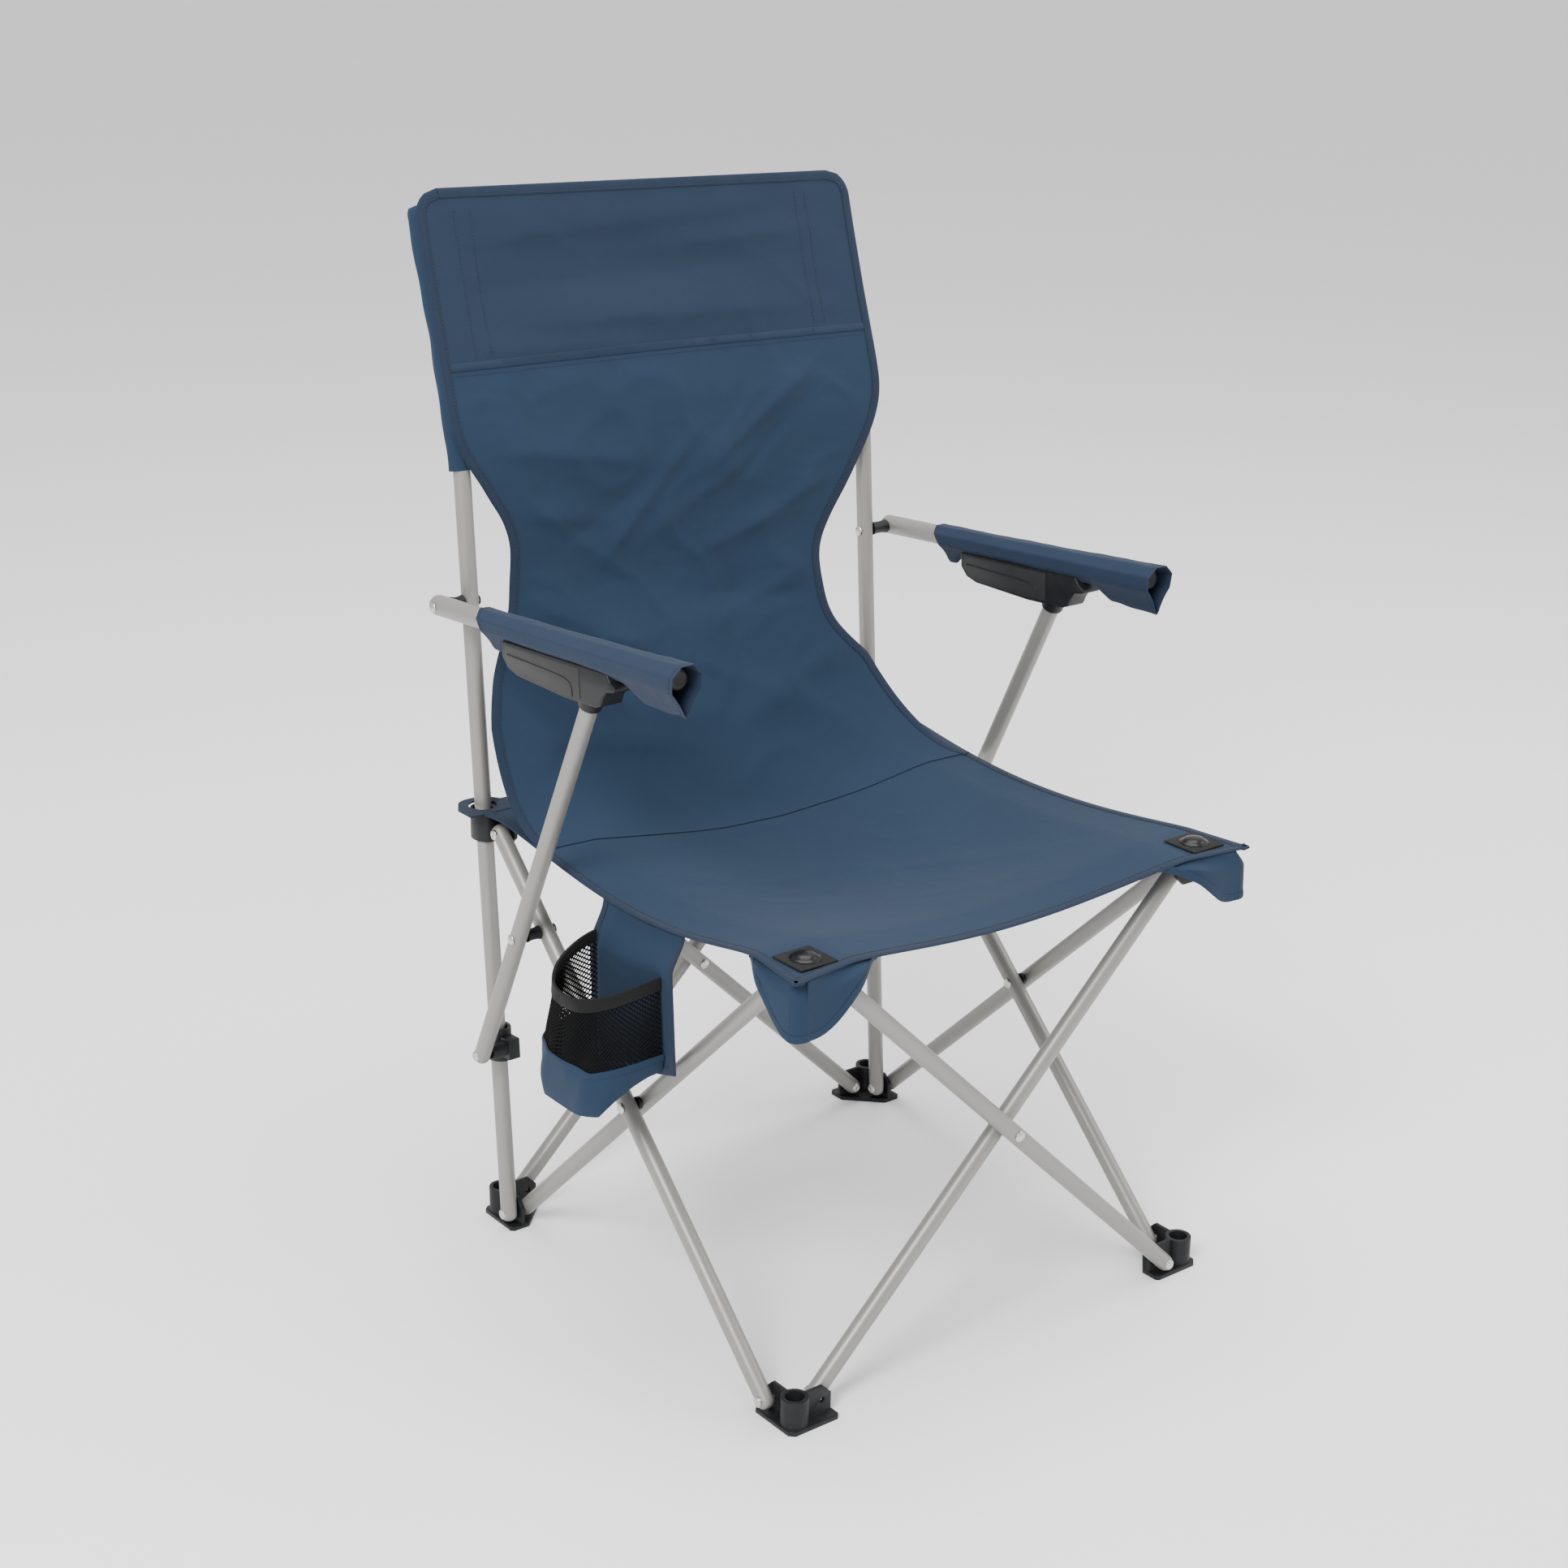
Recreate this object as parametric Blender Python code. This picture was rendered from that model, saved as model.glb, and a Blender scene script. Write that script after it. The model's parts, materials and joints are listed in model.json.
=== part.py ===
"""Folding camp chair with a pinwheel scissor frame, sling seat and back, padded-sleeve arms.

Units are metres, +Z is up and the chair faces -Y.  The sitter's right is -X, and the cup holder
hangs on that side.  Eight equal leg tubes cross in pairs on the four sides.  Each pair has an
outer and an inner tube, held at its ends by moulded feet and hubs whose two wings meet at a ring.
"""

import math

import bmesh
import bpy
from mathutils import Matrix, Vector

# ----------------------------------------------------------------------------- driving sizes
GAP = 0.0003            # clearance between pieces that touch

HALF_FOOTPRINT = 0.235  # chair centre to the ring centres of feet and hubs, in X and Y
HUB_HEIGHT = 0.414      # height of the leg pivots in the hubs, chair open
FOOT_PIVOT_Z = 0.016    # height of the leg pivots in the feet
WING_REACH = 0.029      # ring centre to leg pivot, along a wing
WING_THICK = 0.0034

LEG_R = 0.008           # leg, post and arm support tubes
TUBE_WALL = 0.001
TUBE_END = 0.0085       # tube end beyond its last pivot
ARM_R = 0.0095          # arm rest tube

PIN_R = 0.0025          # rivet shank
HOLE_R = PIN_R + GAP
HEAD_R = 0.0045
HEAD_T = 0.0016

RING_R = 0.0125         # moulded ring
RING_BORE_R = 0.0088
MOULD_H = 0.030         # height of a foot moulding
PLATE_T = 0.004         # sole of a foot
HUB_PLATE_T = 0.003
HUB_UP = 0.014          # hub pivot to the underside of the hub's top plate
HUB_DOWN = 0.013        # hub pivot to the bottom of the hub
BORE_SLACK = 0.0050     # play of a hub ring along the post's lean

POST_LEN = 0.968        # foot pivot to the open top of the post
POST_BEND_S = 0.715     # foot pivot to the start of the post's backward bend
POST_BEND_ARC = 0.080
POST_BEND_DEG = 12.0
ARM_PIVOT_S = 0.614     # foot pivot to arm pivot, along the post
ARM_OFFSET_L = 0.030    # left arm plane outboard of the left post
ARM_OFFSET_R = 0.0368   # right arm plane outboard of the right post, clear of the outer leg
ARM_RISE_DEG = 3.8      # arm slope, front end up
ARM_LEN = 0.366         # arm pivot to the front end of the arm tube
ARM_TAIL = 0.012        # arm tube behind its pivot
SLEEVE_START = 0.074
SLEEVE_END = 0.379
SLEEVE_T = 0.0036
BRACKET_START = 0.118
BRACKET_END = 0.292
BRACKET_DEPTH = 0.043   # arm axis to the lowest edge of the bracket
BRACKET_WALL = 0.003

SUPPORT_ON_LEG = 0.104  # hub pivot down the leg to the arm support's rivet
SUPPORT_DOWN = 0.159    # that rivet to the support's lower rivet
SUPPORT_UP = 0.3113     # that rivet to the support's top
COLLAR_LUG = 0.020      # post axis to the support's lower rivet
COLLAR_H = 0.032
COLLAR_BOSS_R = 0.0078
COLLAR_SLACK = 0.0053

CLOTH_T = 0.003
SEAT_TIP = 0.030        # seat corner beyond the hub ring centre
SEAT_SIDE_SAG_L = 0.029
SEAT_SIDE_SAG_R = 0.012
SEAT_DRAW_IN = 0.018    # seat edges pulled inward between the hubs
SEAT_FRONT_SAG = 0.018
SEAT_LEVEL_IN = 0.040    # hub ring centre inward to the end of the level seat corner
SEAT_JOIN_IN = 0.093     # rear ring centres forward to the seam of seat and back
BACK_SEAT_GAP = 0.0024    # lower edge of the back above the seat
BACK_TOP_L = 0.992      # height of the sling's top corners
BACK_TOP_R = 0.982
BACK_OVER_L = 0.0125    # sling edge beyond the post axis at its widest
BACK_OVER_R = 0.0200
BACK_OVER_TOP = 0.0125
WAIST_Z_L = 0.655
WAIST_Z_R = 0.600
WAIST_X_L = -0.199
WAIST_X_R = 0.163
BACK_LOW_X_L = -0.236   # sling edge where it meets the seat
BACK_LOW_X_R = 0.236
POCKET_BOTTOM_S = 0.735  # foot pivot to the pockets' open ends, along the post
POCKET_WALL = 0.0026

CUP_Y = -0.020          # centre of the cup holder along the seat edge
CUP_PANEL_W = 0.122
CUP_PANEL_TOP = 0.402
CUP_RIM_Z = 0.382
CUP_BOTTOM_Z = 0.232
CUP_HALF_W = 0.051
CUP_REACH = 0.077
CUP_WALL = 0.0022
CUP_BASE_H = 0.046

SEGMENTS = 14

# ----------------------------------------------------------------------------- derived sizes
LATERAL = LEG_R + WING_THICK / 2 + 0.0005     # tube axis to the middle of its wing
RISE = HUB_HEIGHT - FOOT_PIVOT_Z
RUN = 2 * (HALF_FOOTPRINT - WING_REACH)
LEG_LEN = math.hypot(RISE, RUN)
LEG_ANGLE = math.atan2(RUN, RISE)
POST_LEAN = math.atan2(WING_REACH, RISE)
POST_X_L = -HALF_FOOTPRINT - LATERAL
POST_X_R = HALF_FOOTPRINT - LATERAL
POST_FOOT_Y = HALF_FOOTPRINT - WING_REACH
SEAT_FLAT = HALF_FOOTPRINT - SEAT_LEVEL_IN      # seat stays level beyond this distance from the middle
SEAT_BACK_JOIN_Y = HALF_FOOTPRINT - SEAT_JOIN_IN
SEAT_FRONT_REACH = LATERAL + LEG_R + HEAD_T + 0.0062
HUB_TOP = HUB_HEIGHT + HUB_UP + HUB_PLATE_T
SEAT_Z = HUB_TOP + GAP                        # underside of the seat at its corners


# ----------------------------------------------------------------------------- small helpers
def clear_scene():
    """Start from an empty scene."""
    for obj in list(bpy.data.objects):
        bpy.data.objects.remove(obj, do_unlink=True)


def material(name, color, roughness, metallic):
    """One Principled material for each kind of surface."""
    mat = bpy.data.materials.new(name)
    mat.use_nodes = True
    shader = mat.node_tree.nodes["Principled BSDF"]
    shader.inputs["Base Color"].default_value = (*color, 1.0)
    shader.inputs["Roughness"].default_value = roughness
    shader.inputs["Metallic"].default_value = metallic
    mat.diffuse_color = (*color, 1.0)
    return mat


def object_from(name, bm, mat=None, matrix=None, smooth=False):
    """Turn a bmesh into a linked object with outward normals."""
    bmesh.ops.recalc_face_normals(bm, faces=bm.faces[:])
    mesh = bpy.data.meshes.new(name)
    bm.to_mesh(mesh)
    bm.free()
    obj = bpy.data.objects.new(name, mesh)
    bpy.context.scene.collection.objects.link(obj)
    if matrix is not None:
        obj.matrix_world = matrix
    if mat is not None:
        mesh.materials.append(mat)
    if smooth:
        mesh.shade_smooth()
        mesh.set_sharp_from_angle(angle=math.radians(40))
    return obj


def tool(name, bm, matrix=None):
    """A hidden cutter or adder for a Boolean."""
    obj = object_from(name, bm, matrix=matrix)
    obj.hide_render = True
    obj.display_type = "WIRE"
    return obj


def boolean(target, other, operation):
    """Add an exact Boolean that uses a hidden tool."""
    mod = target.modifiers.new(operation.lower() + "_" + other.name, "BOOLEAN")
    mod.operation = operation
    mod.solver = "EXACT"
    mod.object = other


def frame_at(point, *rotations):
    """Matrix from a point and turns given as (degrees, axis)."""
    mat = Matrix.Translation(Vector(point))
    for angle, axis in rotations:
        mat = mat @ Matrix.Rotation(angle, 4, axis)
    return mat


def lathe(profile, segments=SEGMENTS):
    """Solid of revolution about Z from (radius, z) rings, with flat ends."""
    bm = bmesh.new()
    rings = []
    for radius, z in profile:
        ring = []
        for i in range(segments):
            turn = 2 * math.pi * i / segments
            ring.append(bm.verts.new((radius * math.cos(turn), radius * math.sin(turn), z)))
        rings.append(ring)
    for low, high in zip(rings, rings[1:]):
        for i in range(segments):
            j = (i + 1) % segments
            bm.faces.new((low[i], low[j], high[j], high[i]))
    bm.faces.new(rings[0][::-1])
    bm.faces.new(rings[-1])
    return bm


def sweep(rings):
    """Closed solid through equal rings of points."""
    bm = bmesh.new()
    loops = [[bm.verts.new(point) for point in ring] for ring in rings]
    size = len(loops[0])
    for low, high in zip(loops, loops[1:]):
        for i in range(size):
            j = (i + 1) % size
            bm.faces.new((low[i], low[j], high[j], high[i]))
    bm.faces.new(loops[0][::-1])
    bm.faces.new(loops[-1])
    return bm


def along_x(bm):
    """Turn a lathed piece so that its axis lies on X."""
    bmesh.ops.rotate(bm, verts=bm.verts[:], cent=(0, 0, 0),
                     matrix=Matrix.Rotation(math.pi / 2, 3, "Y"))
    return bm


def moved(bm, offset):
    """Shift a bmesh."""
    bmesh.ops.translate(bm, verts=bm.verts[:], vec=Vector(offset))
    return bm


def box(low, high):
    """Axis-aligned box."""
    bm = bmesh.new()
    bmesh.ops.create_cube(bm, size=1.0)
    size = [h - l for l, h in zip(low, high)]
    mid = [(h + l) / 2 for l, h in zip(low, high)]
    bmesh.ops.scale(bm, verts=bm.verts[:], vec=size)
    bmesh.ops.translate(bm, verts=bm.verts[:], vec=mid)
    return bm


def prism(outline, z_low, z_high):
    """Extrude a closed XY outline from z_low to z_high."""
    bm = bmesh.new()
    low = [bm.verts.new((x, y, z_low)) for x, y in outline]
    high = [bm.verts.new((x, y, z_high)) for x, y in outline]
    bm.faces.new(low[::-1])
    bm.faces.new(high)
    for i in range(len(outline)):
        j = (i + 1) % len(outline)
        bm.faces.new((low[i], low[j], high[j], high[i]))
    return bm


def slab(top, bottom):
    """Closed solid between two equal grids of points (lists of rows)."""
    bm = bmesh.new()
    upper = [[bm.verts.new(p) for p in row] for row in top]
    lower = [[bm.verts.new(p) for p in row] for row in bottom]
    rows = len(upper)
    cols = len(upper[0])
    for r in range(rows - 1):
        for c in range(cols - 1):
            bm.faces.new((upper[r][c], upper[r][c + 1], upper[r + 1][c + 1], upper[r + 1][c]))
            bm.faces.new((lower[r][c], lower[r + 1][c], lower[r + 1][c + 1], lower[r][c + 1]))
    rim = [(0, c) for c in range(cols)] + [(r, cols - 1) for r in range(1, rows)]
    rim += [(rows - 1, c) for c in range(cols - 2, -1, -1)] + [(r, 0) for r in range(rows - 2, 0, -1)]
    for (r0, c0), (r1, c1) in zip(rim, rim[1:] + rim[:1]):
        bm.faces.new((upper[r0][c0], lower[r0][c0], lower[r1][c1], upper[r1][c1]))
    return bm


def capsule_profile(radius, z_low, z_high):
    """Round-ended tube outline; each end reaches TUBE_END past its pivot."""
    dome = [(0.30, 0.0), (0.70, 0.14), (0.93, 0.42), (1.0, 0.85)]
    low = [(radius * f, z_low + radius * h) for f, h in dome]
    high = [(radius * f, z_high - radius * h) for f, h in reversed(dome)]
    return low + high


# ----------------------------------------------------------------------------- frame tubes
def pivot_stub(toward):
    """Rivet through a tube end: a shank into the wing on +X and a round head on -X."""
    wing_side = LATERAL + WING_THICK / 2 - GAP if toward == "through" else LATERAL - GAP
    head = LEG_R + HEAD_T
    profile = [(HEAD_R * 0.6, -head - 0.0004), (HEAD_R, -head + 0.0006), (HEAD_R, -LEG_R + 0.002),
               (PIN_R, -LEG_R + 0.002), (PIN_R, wing_side)]
    return along_x(lathe(profile, 8))


def leg_tube(name, mat, matrix, ends, holes):
    """Hollow leg, local Z from the foot pivot to the hub pivot, wings on local +X."""
    leg = object_from(name, lathe(capsule_profile(LEG_R, -TUBE_END, LEG_LEN + TUBE_END)),
                      mat, matrix, smooth=True)
    inner = LEG_R - TUBE_WALL
    bore = lathe([(inner, 0.014), (inner, LEG_LEN - 0.014)], 10)
    boolean(leg, tool(name + "_bore", bore, matrix), "DIFFERENCE")
    for i, z in enumerate(holes):
        drill = moved(along_x(lathe([(HOLE_R, -0.02), (HOLE_R, 0.02)], 8)), (0, 0, z))
        boolean(leg, tool(f"{name}_drill{i}", drill, matrix), "DIFFERENCE")
    for i, (z, kind) in enumerate(zip((0.0, LEG_LEN), ends)):
        stub = moved(pivot_stub(kind), (0, 0, z))
        boolean(leg, tool(f"{name}_rivet{i}", stub, matrix), "UNION")
    return leg


def leg_frames():
    """Placement of the eight legs: foot pivot and turns that set its lean and wing side."""
    a, p, t, z = HALF_FOOTPRINT, WING_REACH, LATERAL, FOOT_PIVOT_Z
    lean, half, quarter = LEG_ANGLE, math.pi, math.pi / 2
    return {
        "leg_left_outer": frame_at((-a - t, -a + p, z), (-lean, "X")),
        "leg_left_inner": frame_at((-a + t, a - p, z), (lean, "X"), (half, "Z")),
        "leg_right_outer": frame_at((a + t, a - p, z), (lean, "X"), (half, "Z")),
        "leg_right_inner": frame_at((a - t, -a + p, z), (-lean, "X")),
        "leg_front_outer": frame_at((a - p, -a - t, z), (-lean, "Y"), (quarter, "Z")),
        "leg_front_inner": frame_at((-a + p, -a + t, z), (lean, "Y"), (-quarter, "Z")),
        "leg_rear_outer": frame_at((-a + p, a + t, z), (lean, "Y"), (-quarter, "Z")),
        "leg_rear_inner": frame_at((a - p, a - t, z), (-lean, "Y"), (quarter, "Z")),
    }


def build_legs(mat):
    """Four crossing pairs of equal tubes."""
    shared = {"leg_left_inner": ("half", "through"), "leg_right_outer": ("half", "through")}
    for name, matrix in leg_frames().items():
        holes = [LEG_LEN / 2]
        if name in ("leg_left_outer", "leg_right_inner"):
            holes.append(LEG_LEN - SUPPORT_ON_LEG)
        ends = shared.get(name, ("through", "through"))
        leg_tube(name, mat, matrix, ends, holes)


def build_cross_rivets(mat):
    """A rivet with a spacer washer where each outer leg crosses its inner leg."""
    a, t, mid = HALF_FOOTPRINT, LATERAL, FOOT_PIVOT_Z + RISE / 2
    far = t + LEG_R
    washer = t - LEG_R - GAP
    profile = [(HEAD_R * 0.6, -far - GAP - HEAD_T), (HEAD_R, -far - GAP - HEAD_T * 0.5),
               (HEAD_R, -far - GAP), (PIN_R, -far - GAP), (PIN_R, -washer), (0.006, -washer),
               (0.006, washer), (PIN_R, washer), (PIN_R, far + GAP), (HEAD_R, far + GAP),
               (HEAD_R, far + GAP + HEAD_T * 0.5), (HEAD_R * 0.6, far + GAP + HEAD_T)]
    places = {"cross_rivet_left": ((-a, 0, mid), 0.0), "cross_rivet_right": ((a, 0, mid), math.pi),
              "cross_rivet_front": ((0, -a, mid), math.pi / 2),
              "cross_rivet_rear": ((0, a, mid), -math.pi / 2)}
    for name, (point, turn) in places.items():
        object_from(name, along_x(lathe(profile, 10)), mat, frame_at(point, (turn, "Z")), smooth=True)


def bend_at(s):
    """Local (y, z) of the post axis at a distance from its foot pivot, and its backward turn."""
    full = math.radians(POST_BEND_DEG)
    radius = POST_BEND_ARC / full
    turn = min(max((s - POST_BEND_S) / radius, 0.0), full)
    y = radius * (1 - math.cos(turn))
    z = min(s, POST_BEND_S) + radius * math.sin(turn)
    beyond = max(s - POST_BEND_S - POST_BEND_ARC, 0.0)
    return y + beyond * math.sin(turn), z + beyond * math.cos(turn), turn


def post_stops(s_low, s_high):
    """Distances from s_low to s_high with extra ones round the bend."""
    steps = 5
    bend = [POST_BEND_S + POST_BEND_ARC * k / steps for k in range(steps + 1)]
    return [s_low] + [s for s in bend if s_low < s < s_high] + [s_high]


def bent_solid(section, s_low, s_high):
    """Solid of a constant (x, y) section swept along the post axis."""
    rings = []
    for s in post_stops(s_low, s_high):
        y0, z0, turn = bend_at(s)
        rings.append([(x, y0 + y * math.cos(turn), z0 - y * math.sin(turn)) for x, y in section])
    return sweep(rings)


def circle(radius, count=SEGMENTS):
    """Points of a regular polygon in a circle."""
    turns = [2 * math.pi * i / count for i in range(count)]
    return [(radius * math.cos(turn), radius * math.sin(turn)) for turn in turns]


def build_posts(mat):
    """The two back posts, riveted to the rear feet, through the rear hubs and bent back on top."""
    for side, x in (("left", POST_X_L), ("right", POST_X_R)):
        name = "post_" + side
        matrix = frame_at((x, POST_FOOT_Y, FOOT_PIVOT_Z), (-POST_LEAN, "X"))
        rings = [[(px, py, z) for px, py in circle(radius)]
                 for radius, z in capsule_profile(LEG_R, -TUBE_END, 2.0)[:4]]
        for s in post_stops(POST_BEND_S - 0.01, POST_LEN):
            y0, z0, turn = bend_at(s)
            rings.append([(px, y0 + py * math.cos(turn), z0 - py * math.sin(turn))
                          for px, py in circle(LEG_R)])
        post = object_from(name, sweep(rings), mat, matrix, smooth=True)
        bore = bent_solid(circle(LEG_R - TUBE_WALL, 10), 0.014, POST_LEN + 0.01)
        boolean(post, tool(name + "_bore", bore, matrix), "DIFFERENCE")
        drill = moved(along_x(lathe([(HOLE_R, -0.02), (HOLE_R, 0.02)], 8)), (0, 0, ARM_PIVOT_S))
        boolean(post, tool(name + "_drill", drill, matrix), "DIFFERENCE")
        boolean(post, tool(name + "_rivet", pivot_stub("half"), matrix), "UNION")


# ----------------------------------------------------------------------------- mouldings
def plate_outline():
    """Chamfered corner plate around a ring and its two wings, wings on +X and +Y."""
    far = WING_REACH + 0.011
    near = RING_R + 0.0015
    return [(-near + 0.005, -near), (far - 0.003, -near), (far, -near + 0.003), (far, 0.006),
            (0.006, far), (-near + 0.003, far), (-near, far - 0.003), (-near, -near + 0.005)]


def wing(z_low, z_high, slope_top):
    """Wing on +X with one bevelled outer corner."""
    end = WING_REACH + 0.010
    half = WING_THICK / 2
    z_cut = z_high - 0.009 if slope_top else z_high
    z_foot = z_low if slope_top else z_low + 0.009
    bm = bmesh.new()
    x_in = 0.0105
    side = [(x_in, z_low), (end - (0.009 if not slope_top else 0.0), z_low), (end, z_foot),
            (end, z_cut), (end - (0.009 if slope_top else 0.0), z_high), (x_in, z_high)]
    clean = []
    for point in side:
        if not clean or (Vector(point) - Vector(clean[-1])).length > 1e-6:
            clean.append(point)
    near = [bm.verts.new((x, -half, z)) for x, z in clean]
    far = [bm.verts.new((x, half, z)) for x, z in clean]
    bm.faces.new(near)
    bm.faces.new(far[::-1])
    for i in range(len(clean)):
        j = (i + 1) % len(clean)
        bm.faces.new((near[j], near[i], far[i], far[j]))
    return bm


def corner_moulding(name, mat, matrix, z_low, z_high, pivot_z, plate, ring_at, bore, plate_low):
    """Ring, two wings and a plate in one moulding, with a rivet hole in each wing."""
    (px, py), (rx, ry) = ring_at, bore
    body = object_from(name, prism(plate_outline(), *plate), mat, matrix)
    if plate_low:
        ring_z = (plate[0] + 0.001, z_high)
    else:
        ring_z = (z_low, plate[1] - 0.001)
    wall = RING_R - RING_BORE_R - (0.0011 if (px or py) else 0.0)
    ring = lathe([(1.0, ring_z[0]), (1.0, ring_z[1])], 18)
    bmesh.ops.scale(ring, verts=ring.verts[:], vec=(rx + wall, ry + wall, 1.0))
    boolean(body, tool(name + "_ring", moved(ring, (px, py, 0)), matrix), "UNION")
    wing_z = (plate[0] + 0.001, z_high) if plate_low else (z_low, plate[1] - 0.001)
    for i, turn in enumerate((0.0, math.pi / 2)):
        shape = wing(*wing_z, plate_low)
        place = matrix @ Matrix.Rotation(turn, 4, "Z")
        boolean(body, tool(f"{name}_wing{i}", shape, place), "UNION")
    if px or py:
        web = box((-0.006, -WING_THICK / 2, wing_z[0]), (0.012, WING_THICK / 2, wing_z[1]))
        boolean(body, tool(name + "_web0", web, matrix), "UNION")
        place = matrix @ Matrix.Rotation(math.pi / 2, 4, "Z")
        web = box((-0.006, -WING_THICK / 2, wing_z[0]), (0.012, WING_THICK / 2, wing_z[1]))
        boolean(body, tool(name + "_web1", web, place), "UNION")
    hole_low = plate[1] if plate_low else z_low - 0.01
    hole_high = z_high + 0.01
    if not plate_low and not (px or py):
        hole_high = plate[0] - 0.001
    hole = lathe([(1.0, hole_low), (1.0, hole_high)], 18)
    bmesh.ops.scale(hole, verts=hole.verts[:], vec=(rx, ry, 1.0))
    boolean(body, tool(name + "_bore", moved(hole, (px, py, 0)), matrix), "DIFFERENCE")
    for i, turn in enumerate((0.0, math.pi / 2)):
        drill = lathe([(HOLE_R, -0.01), (HOLE_R, 0.01)], 8)
        bmesh.ops.rotate(drill, verts=drill.verts[:], cent=(0, 0, 0),
                         matrix=Matrix.Rotation(math.pi / 2, 3, "X"))
        moved(drill, (WING_REACH, 0, pivot_z))
        place = matrix @ Matrix.Rotation(turn, 4, "Z")
        boolean(body, tool(f"{name}_drill{i}", drill, place), "DIFFERENCE")
    return body


def corner_turns():
    """Corner name to its ring centre signs and the turn that points both wings inward."""
    return {"fl": (-1, -1, 0.0), "fr": (1, -1, math.pi / 2), "rr": (1, 1, math.pi),
            "rl": (-1, 1, -math.pi / 2)}


def build_feet(mat):
    """Four feet that stand on the ground."""
    for corner, (sx, sy, turn) in corner_turns().items():
        place = frame_at((sx * HALF_FOOTPRINT, sy * HALF_FOOTPRINT, 0), (turn, "Z"))
        corner_moulding("foot_" + corner, mat, place, 0.0, MOULD_H, FOOT_PIVOT_Z,
                        (0.0, PLATE_T), (0, 0), (RING_BORE_R, RING_BORE_R), True)


def build_hubs(mat):
    """Four hubs under the seat corners; the rear rings let the posts slide and lean."""
    low = HUB_HEIGHT - HUB_DOWN
    plate = (HUB_HEIGHT + HUB_UP, HUB_TOP)
    for corner, (sx, sy, turn) in corner_turns().items():
        place = frame_at((sx * HALF_FOOTPRINT, sy * HALF_FOOTPRINT, 0), (turn, "Z"))
        ring_at, bore = (0.0, 0.0), (RING_BORE_R, RING_BORE_R)
        if sy > 0:
            world = Vector((-LATERAL, 0.0012, 0.0))
            local = Matrix.Rotation(-turn, 3, "Z") @ world
            ring_at = (local.x, local.y)
            long_way, short_way = LEG_R + BORE_SLACK, LEG_R + 0.0006
            bore = (long_way, short_way) if corner == "rl" else (short_way, long_way)
        hub = corner_moulding("hub_" + corner, mat, place, low, plate[1], HUB_HEIGHT,
                              plate, ring_at, bore, False)
        if sy > 0:
            reach = max(TUBE_END, LEG_R) + 0.0012
            relief = lathe([(reach, 0.0), (reach, 0.03)], 24)
            bmesh.ops.rotate(relief, verts=relief.verts[:], cent=(0, 0, 0),
                             matrix=Matrix.Rotation(-math.pi / 2, 3, "X"))
            spot = (sx * (HALF_FOOTPRINT - WING_REACH), HALF_FOOTPRINT + WING_THICK / 2 - 0.0001, HUB_HEIGHT)
            boolean(hub, tool(f"hub_{corner}_relief", relief, frame_at(spot)), "DIFFERENCE")


# ----------------------------------------------------------------------------- arms
def side_offset(side):
    """Post X and signed offset of the arm plane for one side."""
    if side == "left":
        return POST_X_L, -ARM_OFFSET_L
    return POST_X_R, ARM_OFFSET_R


def post_point(s):
    """Point on the post axis in (y, z), at a distance from its foot pivot."""
    return (POST_FOOT_Y + s * math.sin(POST_LEAN), FOOT_PIVOT_Z + s * math.cos(POST_LEAN))


def support_points():
    """(y, z) of the support's middle rivet, lower rivet and its angle from upright."""
    y1 = POST_FOOT_Y - SUPPORT_ON_LEG * math.sin(LEG_ANGLE)
    z1 = FOOT_PIVOT_Z + (LEG_LEN - SUPPORT_ON_LEG) * math.cos(LEG_ANGLE)
    ahead = Vector((-math.cos(POST_LEAN), math.sin(POST_LEAN)))
    up = Vector((math.sin(POST_LEAN), math.cos(POST_LEAN)))
    start = Vector((POST_FOOT_Y, FOOT_PIVOT_Z)) + COLLAR_LUG * ahead
    rel = Vector((y1, z1)) - start
    across = rel.dot(ahead)
    s = rel.dot(up) - math.sqrt(SUPPORT_DOWN ** 2 - across ** 2)
    lower = start + s * up
    angle = math.atan2(lower.y - z1, lower.x - y1)
    psi = math.atan2(lower.x - y1, z1 - lower.y)
    return (y1, z1), (lower.x, lower.y), psi, angle


def build_supports(mat):
    """Inclined struts that carry the arms."""
    (y1, z1), _, psi, _ = support_points()
    for side in ("left", "right"):
        x, offset = side_offset(side)
        name = "support_" + side
        flip = (0.0, "Z") if side == "left" else (math.pi, "Z")
        matrix = frame_at((x + offset, y1, z1), (psi, "X"), flip)
        low, high = -SUPPORT_DOWN - TUBE_END, SUPPORT_UP + TUBE_END
        body = object_from(name, lathe(capsule_profile(LEG_R, low, high)), mat, matrix, smooth=True)
        inner = LEG_R - TUBE_WALL
        bore = lathe([(inner, -SUPPORT_DOWN + 0.014), (inner, SUPPORT_UP - 0.004)], 10)
        boolean(body, tool(name + "_bore", bore, matrix), "DIFFERENCE")
        drill = along_x(lathe([(HOLE_R, -0.02), (HOLE_R, 0.02)], 8))
        boolean(body, tool(name + "_drill", drill, matrix), "DIFFERENCE")
        stub_end = LEG_R + 0.006
        profile = [(HEAD_R * 0.6, -LEG_R - HEAD_T - 0.0004), (HEAD_R, -LEG_R - HEAD_T + 0.0006),
                   (HEAD_R, -LEG_R + 0.002), (PIN_R, -LEG_R + 0.002), (PIN_R, stub_end)]
        stub = moved(along_x(lathe(profile, 8)), (0, 0, -SUPPORT_DOWN))
        boolean(body, tool(name + "_rivet", stub, matrix), "UNION")


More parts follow.
